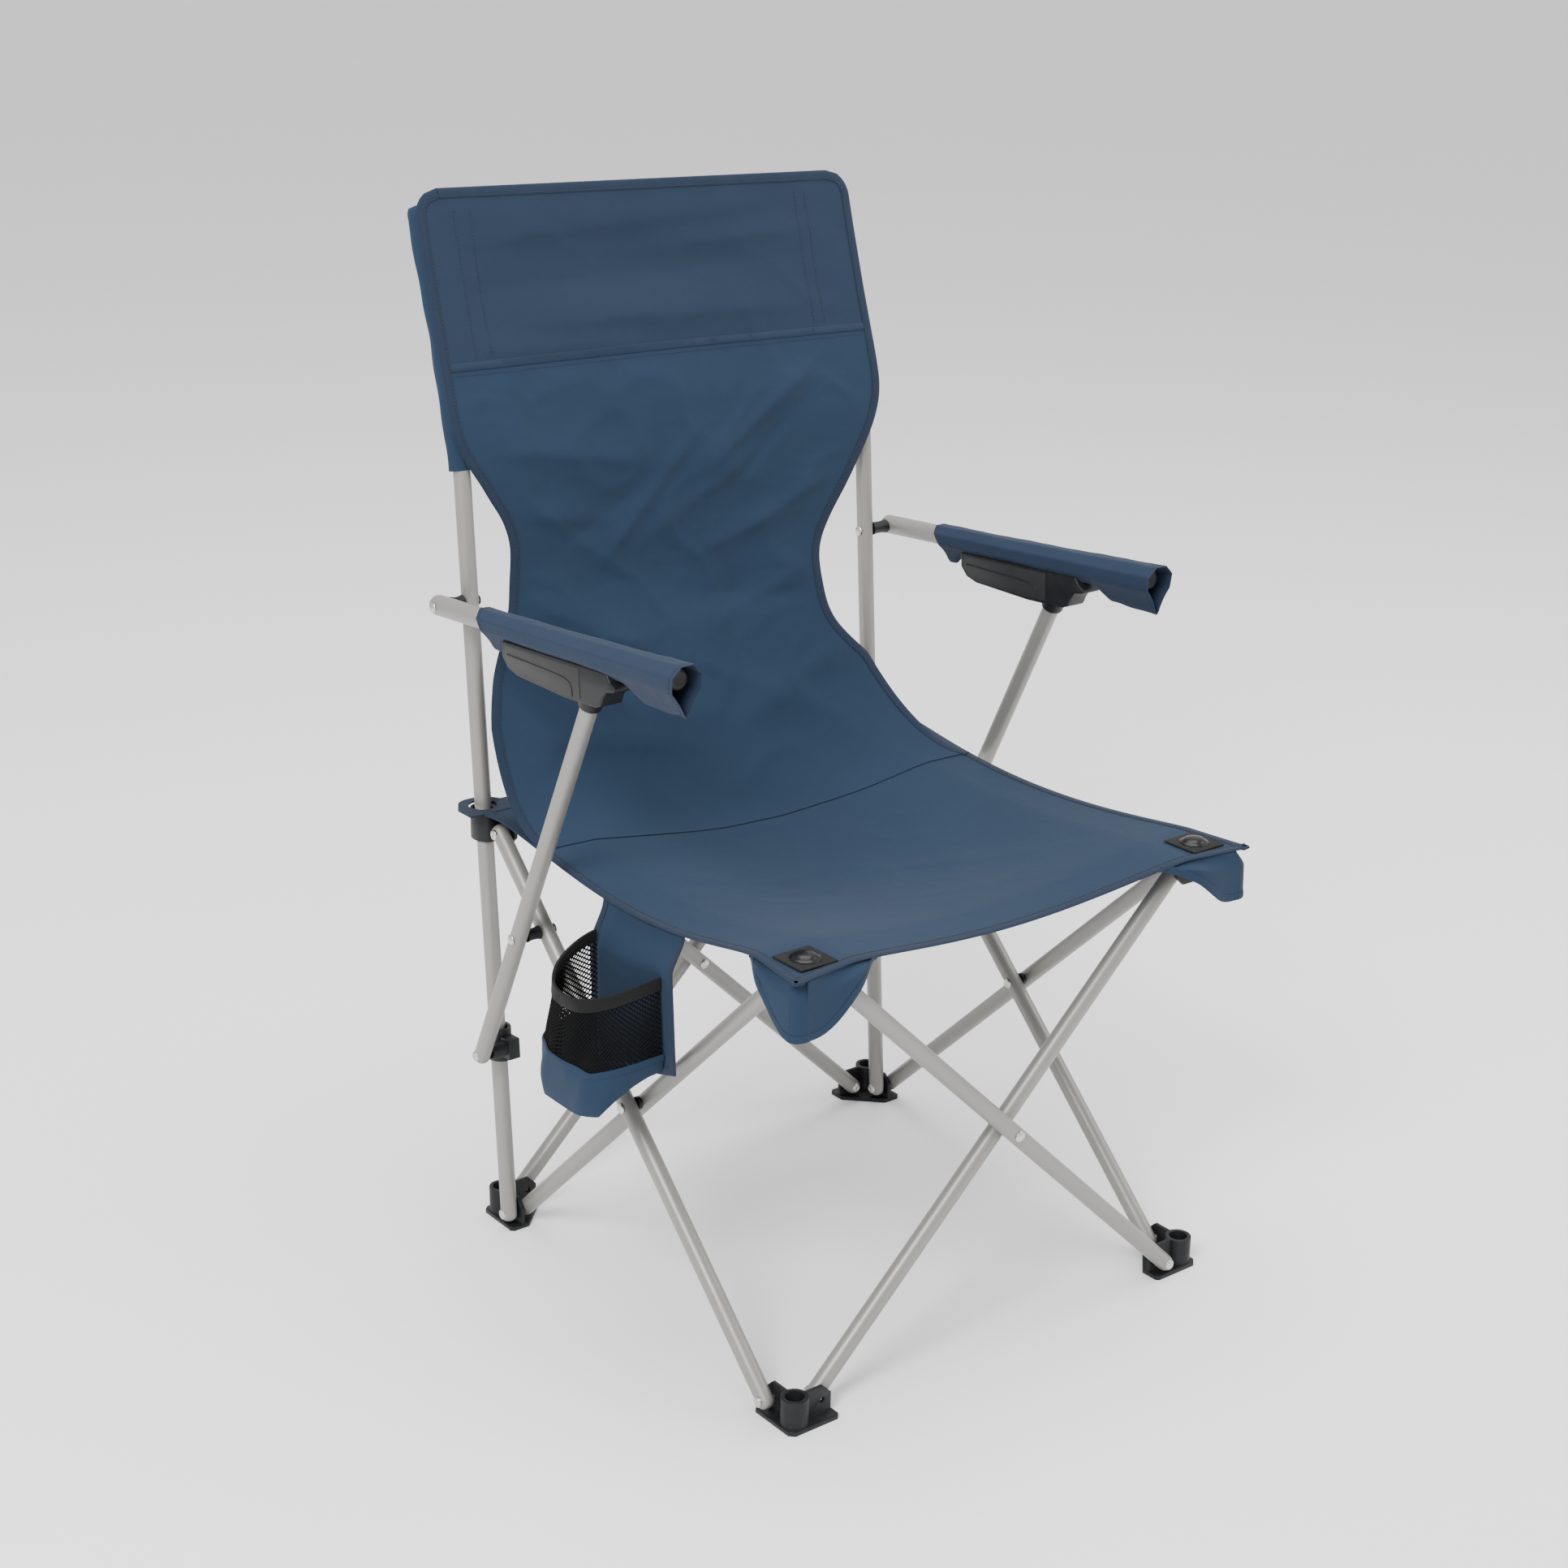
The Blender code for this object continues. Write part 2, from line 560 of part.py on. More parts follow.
def build_support_joints(metal, plastic):
    """Rivet and spacer between each support and the leg that carries it."""
    (y1, z1), _, _, _ = support_points()
    for side in ("left", "right"):
        x, offset = side_offset(side)
        out = 1 if offset > 0 else -1
        reach = abs(offset)
        turn = 0.0 if out > 0 else math.pi
        matrix = frame_at((x, y1, z1), (turn, "Z"))
        inner, outer = -LEG_R - GAP, reach + LEG_R + GAP
        profile = [(HEAD_R * 0.6, inner - HEAD_T), (HEAD_R, inner - HEAD_T * 0.5), (HEAD_R, inner),
                   (PIN_R, inner), (PIN_R, outer), (HEAD_R, outer), (HEAD_R, outer + HEAD_T * 0.5),
                   (HEAD_R * 0.6, outer + HEAD_T)]
        object_from("support_rivet_" + side, along_x(lathe(profile, 10)), metal, matrix, smooth=True)
        spacer = object_from("support_spacer_" + side,
                             along_x(lathe([(0.0065, LEG_R + GAP), (0.0065, reach - LEG_R - GAP)], 12)),
                             plastic, matrix, smooth=True)
        drill = along_x(lathe([(HOLE_R, 0.0), (HOLE_R, 0.05)], 8))
        boolean(spacer, tool("support_spacer_cut_" + side, drill, matrix), "DIFFERENCE")


def build_collars(mat):
    """Sliding collars on the posts, each with a boss that holds a support's lower rivet."""
    _, (y3, z3), _, _ = support_points()
    for side in ("left", "right"):
        x, offset = side_offset(side)
        out = 1 if offset > 0 else -1
        name = "collar_" + side
        along = Vector((y3 - POST_FOOT_Y, z3 - FOOT_PIVOT_Z))
        s = along.dot(Vector((math.sin(POST_LEAN), math.cos(POST_LEAN))))
        yc, zc = post_point(s)
        matrix = frame_at((x, yc, zc), (-POST_LEAN, "X"))
        half = COLLAR_H / 2
        hole = (LEG_R + 0.0006, LEG_R + COLLAR_SLACK)
        ring = lathe([(1.0, -half), (1.0, half)], 18)
        bmesh.ops.scale(ring, verts=ring.verts[:], vec=(hole[0] + 0.0034, hole[1] + 0.003, 1.0))
        body = object_from(name, ring, mat, matrix)
        lug = box((-0.006, -COLLAR_LUG - 0.0095, -0.010), (0.006, -hole[1] - 0.001, 0.010))
        boolean(body, tool(name + "_lug", lug, matrix), "UNION")
        reach = abs(offset) - LEG_R - GAP
        boss = along_x(lathe([(COLLAR_BOSS_R, 0.0), (COLLAR_BOSS_R, reach)], 12))
        turn = Matrix.Rotation(0.0 if out > 0 else math.pi, 4, "Z")
        boss_at = matrix @ Matrix.Translation((0, -COLLAR_LUG, 0)) @ turn
        boolean(body, tool(name + "_boss", boss, boss_at), "UNION")
        cut = lathe([(1.0, -0.05), (1.0, 0.05)], 18)
        bmesh.ops.scale(cut, verts=cut.verts[:], vec=(hole[0], hole[1], 1.0))
        boolean(body, tool(name + "_cut", cut, matrix), "DIFFERENCE")
        pin_r = COLLAR_BOSS_R - 0.0016
        pin = along_x(lathe([(pin_r, reach - 0.0066), (pin_r, reach + 0.01)], 12))
        boolean(body, tool(name + "_pin", pin, boss_at), "DIFFERENCE")


def arm_frame(side):
    """Arm frame: origin on the arm pivot, local -Y to the front, raised by its slope."""
    x, offset = side_offset(side)
    y, z = post_point(ARM_PIVOT_S)
    return frame_at((x + offset, y, z), (-math.radians(ARM_RISE_DEG), "X"))


def build_arm_tubes(mat, plastic):
    """Arm rest tubes with a plug in the front end."""
    for side in ("left", "right"):
        name = "arm_tube_" + side
        matrix = arm_frame(side) @ Matrix.Rotation(math.pi / 2, 4, "X")
        profile = capsule_profile(ARM_R, -ARM_TAIL, 2.0)[:4] + [(ARM_R, ARM_LEN)]
        tube = object_from(name, lathe(profile, 16), mat, matrix, smooth=True)
        inner = ARM_R - TUBE_WALL
        bore = lathe([(inner, 0.014), (inner, ARM_LEN + 0.01)], 12)
        boolean(tube, tool(name + "_bore", bore, matrix), "DIFFERENCE")
        drill = along_x(lathe([(HOLE_R, -0.02), (HOLE_R, 0.02)], 8))
        boolean(tube, tool(name + "_drill", drill, matrix), "DIFFERENCE")
        plug = inner - 0.0008
        profile = [(plug, ARM_LEN - 0.010), (plug, ARM_LEN + GAP), (ARM_R, ARM_LEN + GAP),
                   (ARM_R, ARM_LEN + 0.002), (ARM_R * 0.8, ARM_LEN + 0.003)]
        object_from("arm_cap_" + side, lathe(profile, 12), plastic, matrix, smooth=True)


def build_arm_pivots(metal, plastic):
    """Bolt and spacer that carry each arm on its post."""
    y, z = post_point(ARM_PIVOT_S)
    for side in ("left", "right"):
        x, offset = side_offset(side)
        reach = abs(offset)
        matrix = frame_at((x, y, z), (0.0 if offset > 0 else math.pi, "Z"))
        inner, outer = -LEG_R - GAP, reach + ARM_R + GAP
        profile = [(HEAD_R * 0.6, inner - HEAD_T), (HEAD_R, inner - HEAD_T * 0.5), (HEAD_R, inner),
                   (PIN_R, inner), (PIN_R, outer), (HEAD_R, outer), (HEAD_R, outer + HEAD_T * 0.5),
                   (HEAD_R * 0.6, outer + HEAD_T)]
        object_from("arm_bolt_" + side, along_x(lathe(profile, 10)), metal, matrix, smooth=True)
        spacer = object_from("arm_spacer_" + side,
                             along_x(lathe([(0.007, LEG_R + GAP), (0.007, reach - ARM_R - GAP)], 12)),
                             plastic, matrix, smooth=True)
        drill = along_x(lathe([(HOLE_R, 0.0), (HOLE_R, 0.05)], 8))
        boolean(spacer, tool("arm_spacer_cut_" + side, drill, matrix), "DIFFERENCE")


def build_sleeves(mat):
    """Fabric sleeves round the arm tubes, open along the underside where the bracket hangs."""
    inner, outer = ARM_R + GAP, ARM_R + GAP + SLEEVE_T
    spread = math.radians(124)
    count = 10
    for side in ("left", "right"):
        bm = bmesh.new()
        loops = []
        for y in (-SLEEVE_START, -SLEEVE_END):
            loop = []
            for k in range(count + 1):
                turn = -spread + 2 * spread * k / count
                loop.append(bm.verts.new((outer * math.sin(turn), y, outer * math.cos(turn))))
            for k in range(count, -1, -1):
                turn = -spread + 2 * spread * k / count
                loop.append(bm.verts.new((inner * math.sin(turn), y, inner * math.cos(turn))))
            loops.append(loop)
        size = len(loops[0])
        for i in range(size):
            j = (i + 1) % size
            bm.faces.new((loops[0][i], loops[0][j], loops[1][j], loops[1][i]))
        for loop in loops:
            for k in range(count):
                bm.faces.new((loop[k], loop[k + 1], loop[size - 2 - k], loop[size - 1 - k]))
        object_from("sleeve_" + side, bm, mat, arm_frame(side), smooth=True)


def build_brackets(mat):
    """Channel under each arm that holds the top of its support, open below and behind."""
    top = -ARM_R - GAP
    half_in = LEG_R + 0.0007
    half_out = half_in + BRACKET_WALL
    for side in ("left", "right"):
        name = "bracket_" + side
        matrix = arm_frame(side)
        outline = [(-BRACKET_START, top), (-BRACKET_START, top - 0.018),
                   (-BRACKET_START - 0.012, top - 0.024), (-BRACKET_END + 0.075, -BRACKET_DEPTH),
                   (-BRACKET_END + 0.010, -BRACKET_DEPTH), (-BRACKET_END, -BRACKET_DEPTH + 0.010),
                   (-BRACKET_END, top)]
        bm = bmesh.new()
        near = [bm.verts.new((-half_out, y, z)) for y, z in outline]
        far = [bm.verts.new((half_out, y, z)) for y, z in outline]
        bm.faces.new(near)
        bm.faces.new(far[::-1])
        for i in range(len(outline)):
            j = (i + 1) % len(outline)
            bm.faces.new((near[j], near[i], far[i], far[j]))
        body = object_from(name, bm, mat, matrix)
        space = box((-half_in, -BRACKET_END + BRACKET_WALL, -0.08),
                    (half_in, -BRACKET_START + 0.01, top - 0.0022))
        boolean(body, tool(name + "_space", space, matrix), "DIFFERENCE")


# ----------------------------------------------------------------------------- sling
def level(u):
    """Sag share along an edge: 1 in the middle, 0 at the hubs."""
    q = min(1.0, abs(u) / SEAT_FLAT)
    return (1.0 - q * q) ** 1.3


def seat_under(x, y):
    """Height of the seat's underside; the left edge sags more than the right."""
    share = min(1.0, max(0.0, 0.5 + 0.5 * x / HALF_FOOTPRINT))
    side_sag = SEAT_SIDE_SAG_L + (SEAT_SIDE_SAG_R - SEAT_SIDE_SAG_L) * share
    return SEAT_Z - side_sag * level(y) - SEAT_FRONT_SAG * level(x)


def seat_half_width(y):
    """Half width of the seat, drawn in between the hubs."""
    return HALF_FOOTPRINT + SEAT_TIP * 0.9 - SEAT_DRAW_IN * level(y)


def stops(low, high, count):
    """Grid lines from low to high, with one on each limit of the level corners."""
    a, b = max(low, -SEAT_FLAT), min(high, SEAT_FLAT)
    inner = [a + (b - a) * k / count for k in range(count + 1)]
    return ([low] if low < a else []) + inner + ([high] if high > b else [])


def seat_half(name, mat, y_from, y_to, rows, cols, pivot_y):
    """One half of the seat sling as a thin closed solid."""
    top, bottom = [], []
    for y in stops(y_from, y_to, rows):
        half = seat_half_width(y)
        row_top, row_bottom = [], []
        for x in stops(-half, half, cols):
            z = seat_under(x, y)
            row_top.append((x, y - pivot_y, z + CLOTH_T - SEAT_Z))
            row_bottom.append((x, y - pivot_y, z - SEAT_Z))
        top.append(row_top)
        bottom.append(row_bottom)
    return object_from(name, slab(top, bottom), mat, frame_at((0, pivot_y, SEAT_Z)), smooth=True)


def build_seat(mat):
    """Seat sling in a front and a rear half that fold down between the hubs."""
    rear_edge = HALF_FOOTPRINT - 0.0165
    front_edge = -HALF_FOOTPRINT - SEAT_FRONT_REACH
    seat_half("seat_rear", mat, 0.00015, rear_edge, 7, 12, HALF_FOOTPRINT - 0.020)
    seat_half("seat_front", mat, front_edge, -0.00015, 7, 12, -HALF_FOOTPRINT + 0.010)


def build_tabs(mat):
    """Rear seat corners, each with the hole that its post passes through."""
    for corner, x in (("rl", POST_X_L), ("rr", POST_X_R)):
        name = "seat_tab_" + corner
        y0 = HALF_FOOTPRINT - 0.0160
        s = (HUB_TOP - FOOT_PIVOT_Z) / math.cos(POST_LEAN)
        y_post = post_point(s)[0]
        outline = [(x - 0.026, y0), (x + 0.026, y0), (x + 0.026, y0 + 0.022),
                   (x + 0.012, y0 + 0.040), (x - 0.012, y0 + 0.040), (x - 0.026, y0 + 0.022)]
        tab = object_from(name, prism(outline, SEAT_Z, SEAT_Z + CLOTH_T), mat)
        cut = lathe([(LEG_R + BORE_SLACK + 0.0006, SEAT_Z - 0.01), (LEG_R + BORE_SLACK + 0.0006, SEAT_Z + 0.02)], 14)
        boolean(tab, tool(name + "_cut", moved(cut, (x, y_post + 0.0008, 0))), "DIFFERENCE")


def build_corner_patches(mat):
    """Reinforcing patch and dome stud on top of each front seat corner."""
    for corner, sx in (("fl", -1), ("fr", 1)):
        size, r = 0.021, 0.0105
        z = SEAT_Z + CLOTH_T + GAP
        outline = [(-size, -size), (size, -size), (size, size), (-size, size)]
        name = "corner_patch_" + corner
        place = frame_at((sx * HALF_FOOTPRINT, -HALF_FOOTPRINT, z))
        body = object_from(name, prism(outline, 0.0, 0.0012), mat, place)
        dome = lathe([(r, 0.0006), (r, 0.003), (r * 0.8, 0.0052), (r * 0.35, 0.0064)], 12)
        boolean(body, tool(name + "_dome", dome, place), "UNION")


def build_flaps(mat):
    """Pointed flaps that hang in front of the two front hubs, one plane ahead of the other."""
    base = -HALF_FOOTPRINT - LATERAL - LEG_R - HEAD_T - 0.0012
    for corner, sx, reach, y in (("fl", -1, 0.070, base), ("fr", 1, 0.056, base - 0.0028)):
        x0 = sx * (HALF_FOOTPRINT + 0.020)
        x1 = sx * (HALF_FOOTPRINT - reach)
        tip = sx * (HALF_FOOTPRINT - 0.010)
        z_top = SEAT_Z - GAP
        z_in = seat_under(x1, y) - 0.0012
        side = [(x0, z_top), (x0 - sx * 0.010, z_top - 0.038), (tip + sx * 0.007, z_top - 0.058),
                (tip - sx * 0.007, z_top - 0.058), (x1 + sx * 0.016, z_in - 0.024), (x1, z_in),
                (sx * SEAT_FLAT, z_top)]
        bm = bmesh.new()
        front = [bm.verts.new((px, y - 0.0025, pz)) for px, pz in side]
        back = [bm.verts.new((px, y, pz)) for px, pz in side]
        bm.faces.new(front)
        bm.faces.new(back[::-1])
        for i in range(len(side)):
            j = (i + 1) % len(side)
            bm.faces.new((front[j], front[i], back[i], back[j]))
        object_from("flap_" + corner, bm, mat)


def ease(q):
    """Smooth step from 0 to 1."""
    q = min(1.0, max(0.0, q))
    return q * q * (3 - 2 * q)


def back_edges(z):
    """Left and right X of the sling edge at a height."""
    wide_l = POST_X_L - BACK_OVER_L
    wide_r = POST_X_R + BACK_OVER_R
    if z >= WAIST_Z_L:
        left = WAIST_X_L + (wide_l - WAIST_X_L) * ease((z - WAIST_Z_L) / 0.13)
    else:
        left = WAIST_X_L + (BACK_LOW_X_L - WAIST_X_L) * ease((WAIST_Z_L - z) / 0.19)
    if z >= WAIST_Z_R:
        right = WAIST_X_R + (wide_r - WAIST_X_R) * ease((z - WAIST_Z_R) / 0.145)
        right -= (BACK_OVER_R - BACK_OVER_TOP) * max(0.0, (z - 0.77) / (BACK_TOP_R - 0.77))
    else:
        right = WAIST_X_R + (BACK_LOW_X_R - WAIST_X_R) * min(1.0, (WAIST_Z_R - z) / 0.15) ** 1.6
    return left, right


def post_front(s):
    """World (y, z) of the line just in front of the post, where the sling's rear face lies."""
    y0, z0, turn = bend_at(s)
    off = LEG_R + 0.0008
    y1 = y0 - off * math.cos(turn)
    z1 = z0 + off * math.sin(turn)
    return (POST_FOOT_Y + y1 * math.cos(POST_LEAN) + z1 * math.sin(POST_LEAN),
            FOOT_PIVOT_Z - y1 * math.sin(POST_LEAN) + z1 * math.cos(POST_LEAN))


def front_y(z):
    """Y of that line at a height, found by halving."""
    low, high = 0.0, POST_LEN + 0.05
    for _ in range(30):
        mid = (low + high) / 2
        if post_front(mid)[1] < z:
            low = mid
        else:
            high = mid
    return post_front(low)[0]


def back_y(z):
    """Y of the sling's rear face at a height: along the posts, then forward to the seat."""
    z_turn = 0.640
    if z >= z_turn:
        return front_y(z)
    q = (z_turn - z) / (z_turn - SEAT_Z + 0.01)
    end = SEAT_BACK_JOIN_Y + CLOTH_T
    return front_y(z) + (end - front_y(z)) * q ** 1.7


def build_back(mat):
    """Back sling, from the top of the posts down to its seam on the seat."""
    rows, cols = 22, 14
    front, rear = [], []
    for r in range(rows + 1):
        v = r / rows
        z_mid = SEAT_Z + (BACK_TOP_R - SEAT_Z) * v
        left, right = back_edges(z_mid)
        row_front, row_rear = [], []
        for c in range(cols + 1):
            x = left + (right - left) * c / cols
            floor = seat_under(x, SEAT_BACK_JOIN_Y) + CLOTH_T + BACK_SEAT_GAP
            top = BACK_TOP_L + (BACK_TOP_R - BACK_TOP_L) * c / cols
            z = floor + (top - floor) * v
            y = back_y(z)
            row_front.append((x, y - CLOTH_T, z))
            row_rear.append((x, y, z))
        front.append(row_front)
        rear.append(row_rear)
    object_from("back_panel", slab(front, rear), mat, smooth=True)


def build_pockets(mat):
    """Closed-top fabric sleeves that slip over the posts behind the sling."""
    for side, x in (("left", POST_X_L), ("right", POST_X_R)):
        name = "pocket_" + side
        matrix = frame_at((x, POST_FOOT_Y, FOOT_PIVOT_Z), (-POST_LEAN, "X"))
        r_in = LEG_R + GAP
        r_out = r_in + POCKET_WALL
        top_in = POST_LEN + GAP
        body = object_from(name, bent_solid(circle(r_out), POCKET_BOTTOM_S, top_in + 0.003),
                           mat, matrix, smooth=True)
        cut = bent_solid(circle(r_in), POCKET_BOTTOM_S - 0.01, top_in)
        boolean(body, tool(name + "_cut", cut, matrix), "DIFFERENCE")
        front = -LEG_R - GAP - 0.0001
        strip = [(-0.03, -0.03), (0.03, -0.03), (0.03, front), (-0.03, front)]
        flat = bent_solid(strip, POCKET_BOTTOM_S - 0.02, top_in + 0.02)
        boolean(body, tool(name + "_flat", flat, matrix), "DIFFERENCE")


# ----------------------------------------------------------------------------- cup holder
def cup_curve(offset, count=12):
    """Half-oval plan of the pocket, from its front end round to its rear end."""
    points = []
    for k in range(count + 1):
        turn = math.pi * k / count
        y = CUP_Y - (CUP_HALF_W + offset) * math.cos(turn)
        x = cup_panel_x() - (CUP_REACH + offset) * math.sin(turn) ** 0.8
        points.append((x, y))
    return points


def cup_panel_x():
    """Outer face of the hanging panel, clear of the outer leg and its rivet."""
    return POST_X_L - LEG_R - GAP - HEAD_T - CLOTH_T - 0.0008


def band(name, mat, grow, wall, z_low, z_high, floor=0.0):
    """U-shaped wall of the pocket, with an optional floor."""
    outer = cup_curve(grow)
    inner = cup_curve(grow - wall)
    shift = -GAP
    outline = [(x + shift, y) for x, y in outer] + [(x + shift, y) for x, y in reversed(inner)]
    body = object_from(name, prism(outline, z_low, z_high), mat)
    if floor:
        base = prism([(x + shift, y) for x, y in cup_curve(grow - wall / 2)], z_low, z_low + floor)
        boolean(body, tool(name + "_floor", base), "UNION")
    return body


def build_cup_holder(cloth, mesh, dark):
    """Panel that hangs from the seat edge, with a mesh pocket, bound rim and cloth base."""
    x = cup_panel_x()
    half = CUP_PANEL_W / 2
    object_from("cup_panel", box((x, CUP_Y - half, CUP_BOTTOM_Z + 0.012),
                                 (x + CLOTH_T, CUP_Y + half, CUP_PANEL_TOP)), cloth)
    base_top = CUP_BOTTOM_Z + CUP_BASE_H
    band("cup_base", cloth, 0.0006, CUP_WALL + 0.0006, CUP_BOTTOM_Z, base_top, floor=0.003)
    band("cup_mesh", mesh, 0.0, CUP_WALL, base_top + GAP, CUP_RIM_Z - 0.010 - GAP)
    band("cup_rim", dark, 0.0012, CUP_WALL + 0.0016, CUP_RIM_Z - 0.010, CUP_RIM_Z)


# ----------------------------------------------------------------------------- assembly
def stand_on_origin():
    """Move the chair so that its box stands centred on the origin."""
    depsgraph = bpy.context.evaluated_depsgraph_get()
    low, high = Vector((9, 9, 9)), Vector((-9, -9, -9))
    for obj in bpy.context.scene.objects:
        if obj.type != "MESH" or obj.hide_render:
            continue
        evaluated = obj.evaluated_get(depsgraph)
        for vert in evaluated.data.vertices:
            point = evaluated.matrix_world @ vert.co
            for i in range(3):
                low[i] = min(low[i], point[i])
                high[i] = max(high[i], point[i])
    shift = Vector((-(low.x + high.x) / 2, -(low.y + high.y) / 2, -low.z))
    for obj in bpy.context.scene.objects:
        if obj.parent is None:
            obj.matrix_world = Matrix.Translation(shift) @ obj.matrix_world
    bpy.context.view_layer.update()
    print("shift", tuple(round(v, 6) for v in shift))
    print("box", tuple(round(v, 5) for v in (low + shift)), tuple(round(v, 5) for v in (high + shift)))


def main():
    """Build every piece of the chair."""
    clear_scene()
    paint = material("frame_paint", (0.42, 0.415, 0.395), 0.38, 0.55)
    steel = material("rivet_steel", (0.62, 0.61, 0.59), 0.25, 1.0)
    plastic = material("black_moulding", (0.018, 0.019, 0.021), 0.45, 0.0)
    cloth = material("blue_cloth", (0.040, 0.082, 0.142), 0.85, 0.0)
    arm_cloth = material("arm_cloth", (0.062, 0.092, 0.165), 0.85, 0.0)
    mesh = material("black_mesh", (0.012, 0.012, 0.014), 0.8, 0.0)
    build_feet(plastic)
    build_hubs(plastic)
    build_legs(paint)
    build_cross_rivets(steel)
    build_posts(paint)
    build_supports(paint)
    build_support_joints(steel, plastic)
    build_collars(plastic)
    build_arm_tubes(paint, plastic)
    build_arm_pivots(steel, plastic)
    build_sleeves(arm_cloth)
    build_brackets(plastic)
    build_seat(cloth)
    build_tabs(cloth)
    build_corner_patches(plastic)
    build_flaps(cloth)
    build_back(cloth)
    build_pockets(cloth)
    build_cup_holder(cloth, mesh, plastic)
    bpy.context.view_layer.update()
    stand_on_origin()


main()
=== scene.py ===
"""Looks of the folding camp chair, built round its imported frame.

All sizes are metres in the row frame: +Z up, the chair faces -Y, the cup holder hangs on -X.
"""
import json
import logging
import math
from dataclasses import dataclass, field
from enum import Enum
from functools import cached_property
from typing import Any, Callable, Optional, Sequence

import bmesh
import bpy
import numpy as np
from mathutils import Matrix, Vector, noise

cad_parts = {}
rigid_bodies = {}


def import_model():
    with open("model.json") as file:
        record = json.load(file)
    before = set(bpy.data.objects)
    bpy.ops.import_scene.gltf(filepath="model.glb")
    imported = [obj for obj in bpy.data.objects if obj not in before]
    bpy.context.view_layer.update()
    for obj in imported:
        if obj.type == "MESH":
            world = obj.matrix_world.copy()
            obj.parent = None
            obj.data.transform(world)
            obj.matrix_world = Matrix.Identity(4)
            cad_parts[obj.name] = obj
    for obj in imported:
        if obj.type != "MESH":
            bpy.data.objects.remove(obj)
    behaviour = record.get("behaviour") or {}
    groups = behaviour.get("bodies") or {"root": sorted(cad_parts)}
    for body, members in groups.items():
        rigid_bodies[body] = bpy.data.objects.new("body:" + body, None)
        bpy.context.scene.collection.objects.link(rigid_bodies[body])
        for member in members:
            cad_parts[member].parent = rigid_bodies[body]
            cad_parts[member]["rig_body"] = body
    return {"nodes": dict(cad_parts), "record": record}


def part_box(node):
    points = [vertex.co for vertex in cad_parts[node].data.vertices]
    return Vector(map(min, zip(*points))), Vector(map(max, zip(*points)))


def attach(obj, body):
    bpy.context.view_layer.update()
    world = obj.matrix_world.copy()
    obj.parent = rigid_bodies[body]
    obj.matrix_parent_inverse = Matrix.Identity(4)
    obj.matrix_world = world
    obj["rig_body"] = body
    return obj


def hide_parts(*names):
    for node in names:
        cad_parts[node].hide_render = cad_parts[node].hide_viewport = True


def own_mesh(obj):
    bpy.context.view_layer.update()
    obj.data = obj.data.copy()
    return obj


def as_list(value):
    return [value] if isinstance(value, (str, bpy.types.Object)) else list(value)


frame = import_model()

LOG = logging.getLogger("chair")
TAU = 2 * math.pi
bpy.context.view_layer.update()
Point = tuple[float, float, float]
Pair = tuple[float, float]
Colour = tuple[float, float, float, float]
Shell = tuple[Any, Sequence[Sequence[int]], Any]


# ------------------------------------------------------------------ shader maths
class Sig:
    """A shader socket that can be used in arithmetic."""

    def __init__(self, graph: "Graph", socket: Any) -> None:
        """Wrap a socket of a graph."""
        self.graph = graph
        self.socket = socket

    def _math(self, operation: str, *values: Any) -> "Sig":
        """Add a Math node for an operation on values."""
        return self.graph.add("ShaderNodeMath", {"operation": operation}, dict(enumerate(values)))

    def __add__(self, other: Any) -> "Sig":
        """Sum."""
        return self._math("ADD", self, other)

    __radd__ = __add__

    def __sub__(self, other: Any) -> "Sig":
        """Difference."""
        return self._math("SUBTRACT", self, other)

    def __mul__(self, other: Any) -> "Sig":
        """Product."""
        return self._math("MULTIPLY", self, other)

    __rmul__ = __mul__

    def sine(self) -> "Sig":
        """Sine."""
        return self._math("SINE", self)

    def absolute(self) -> "Sig":
        """Absolute value."""
        return self._math("ABSOLUTE", self)

    def clamp(self) -> "Sig":
        """Clamp to the range 0 to 1."""
        node = self._math("ADD", self, 0.0)
        node.socket.node.use_clamp = True
        return node


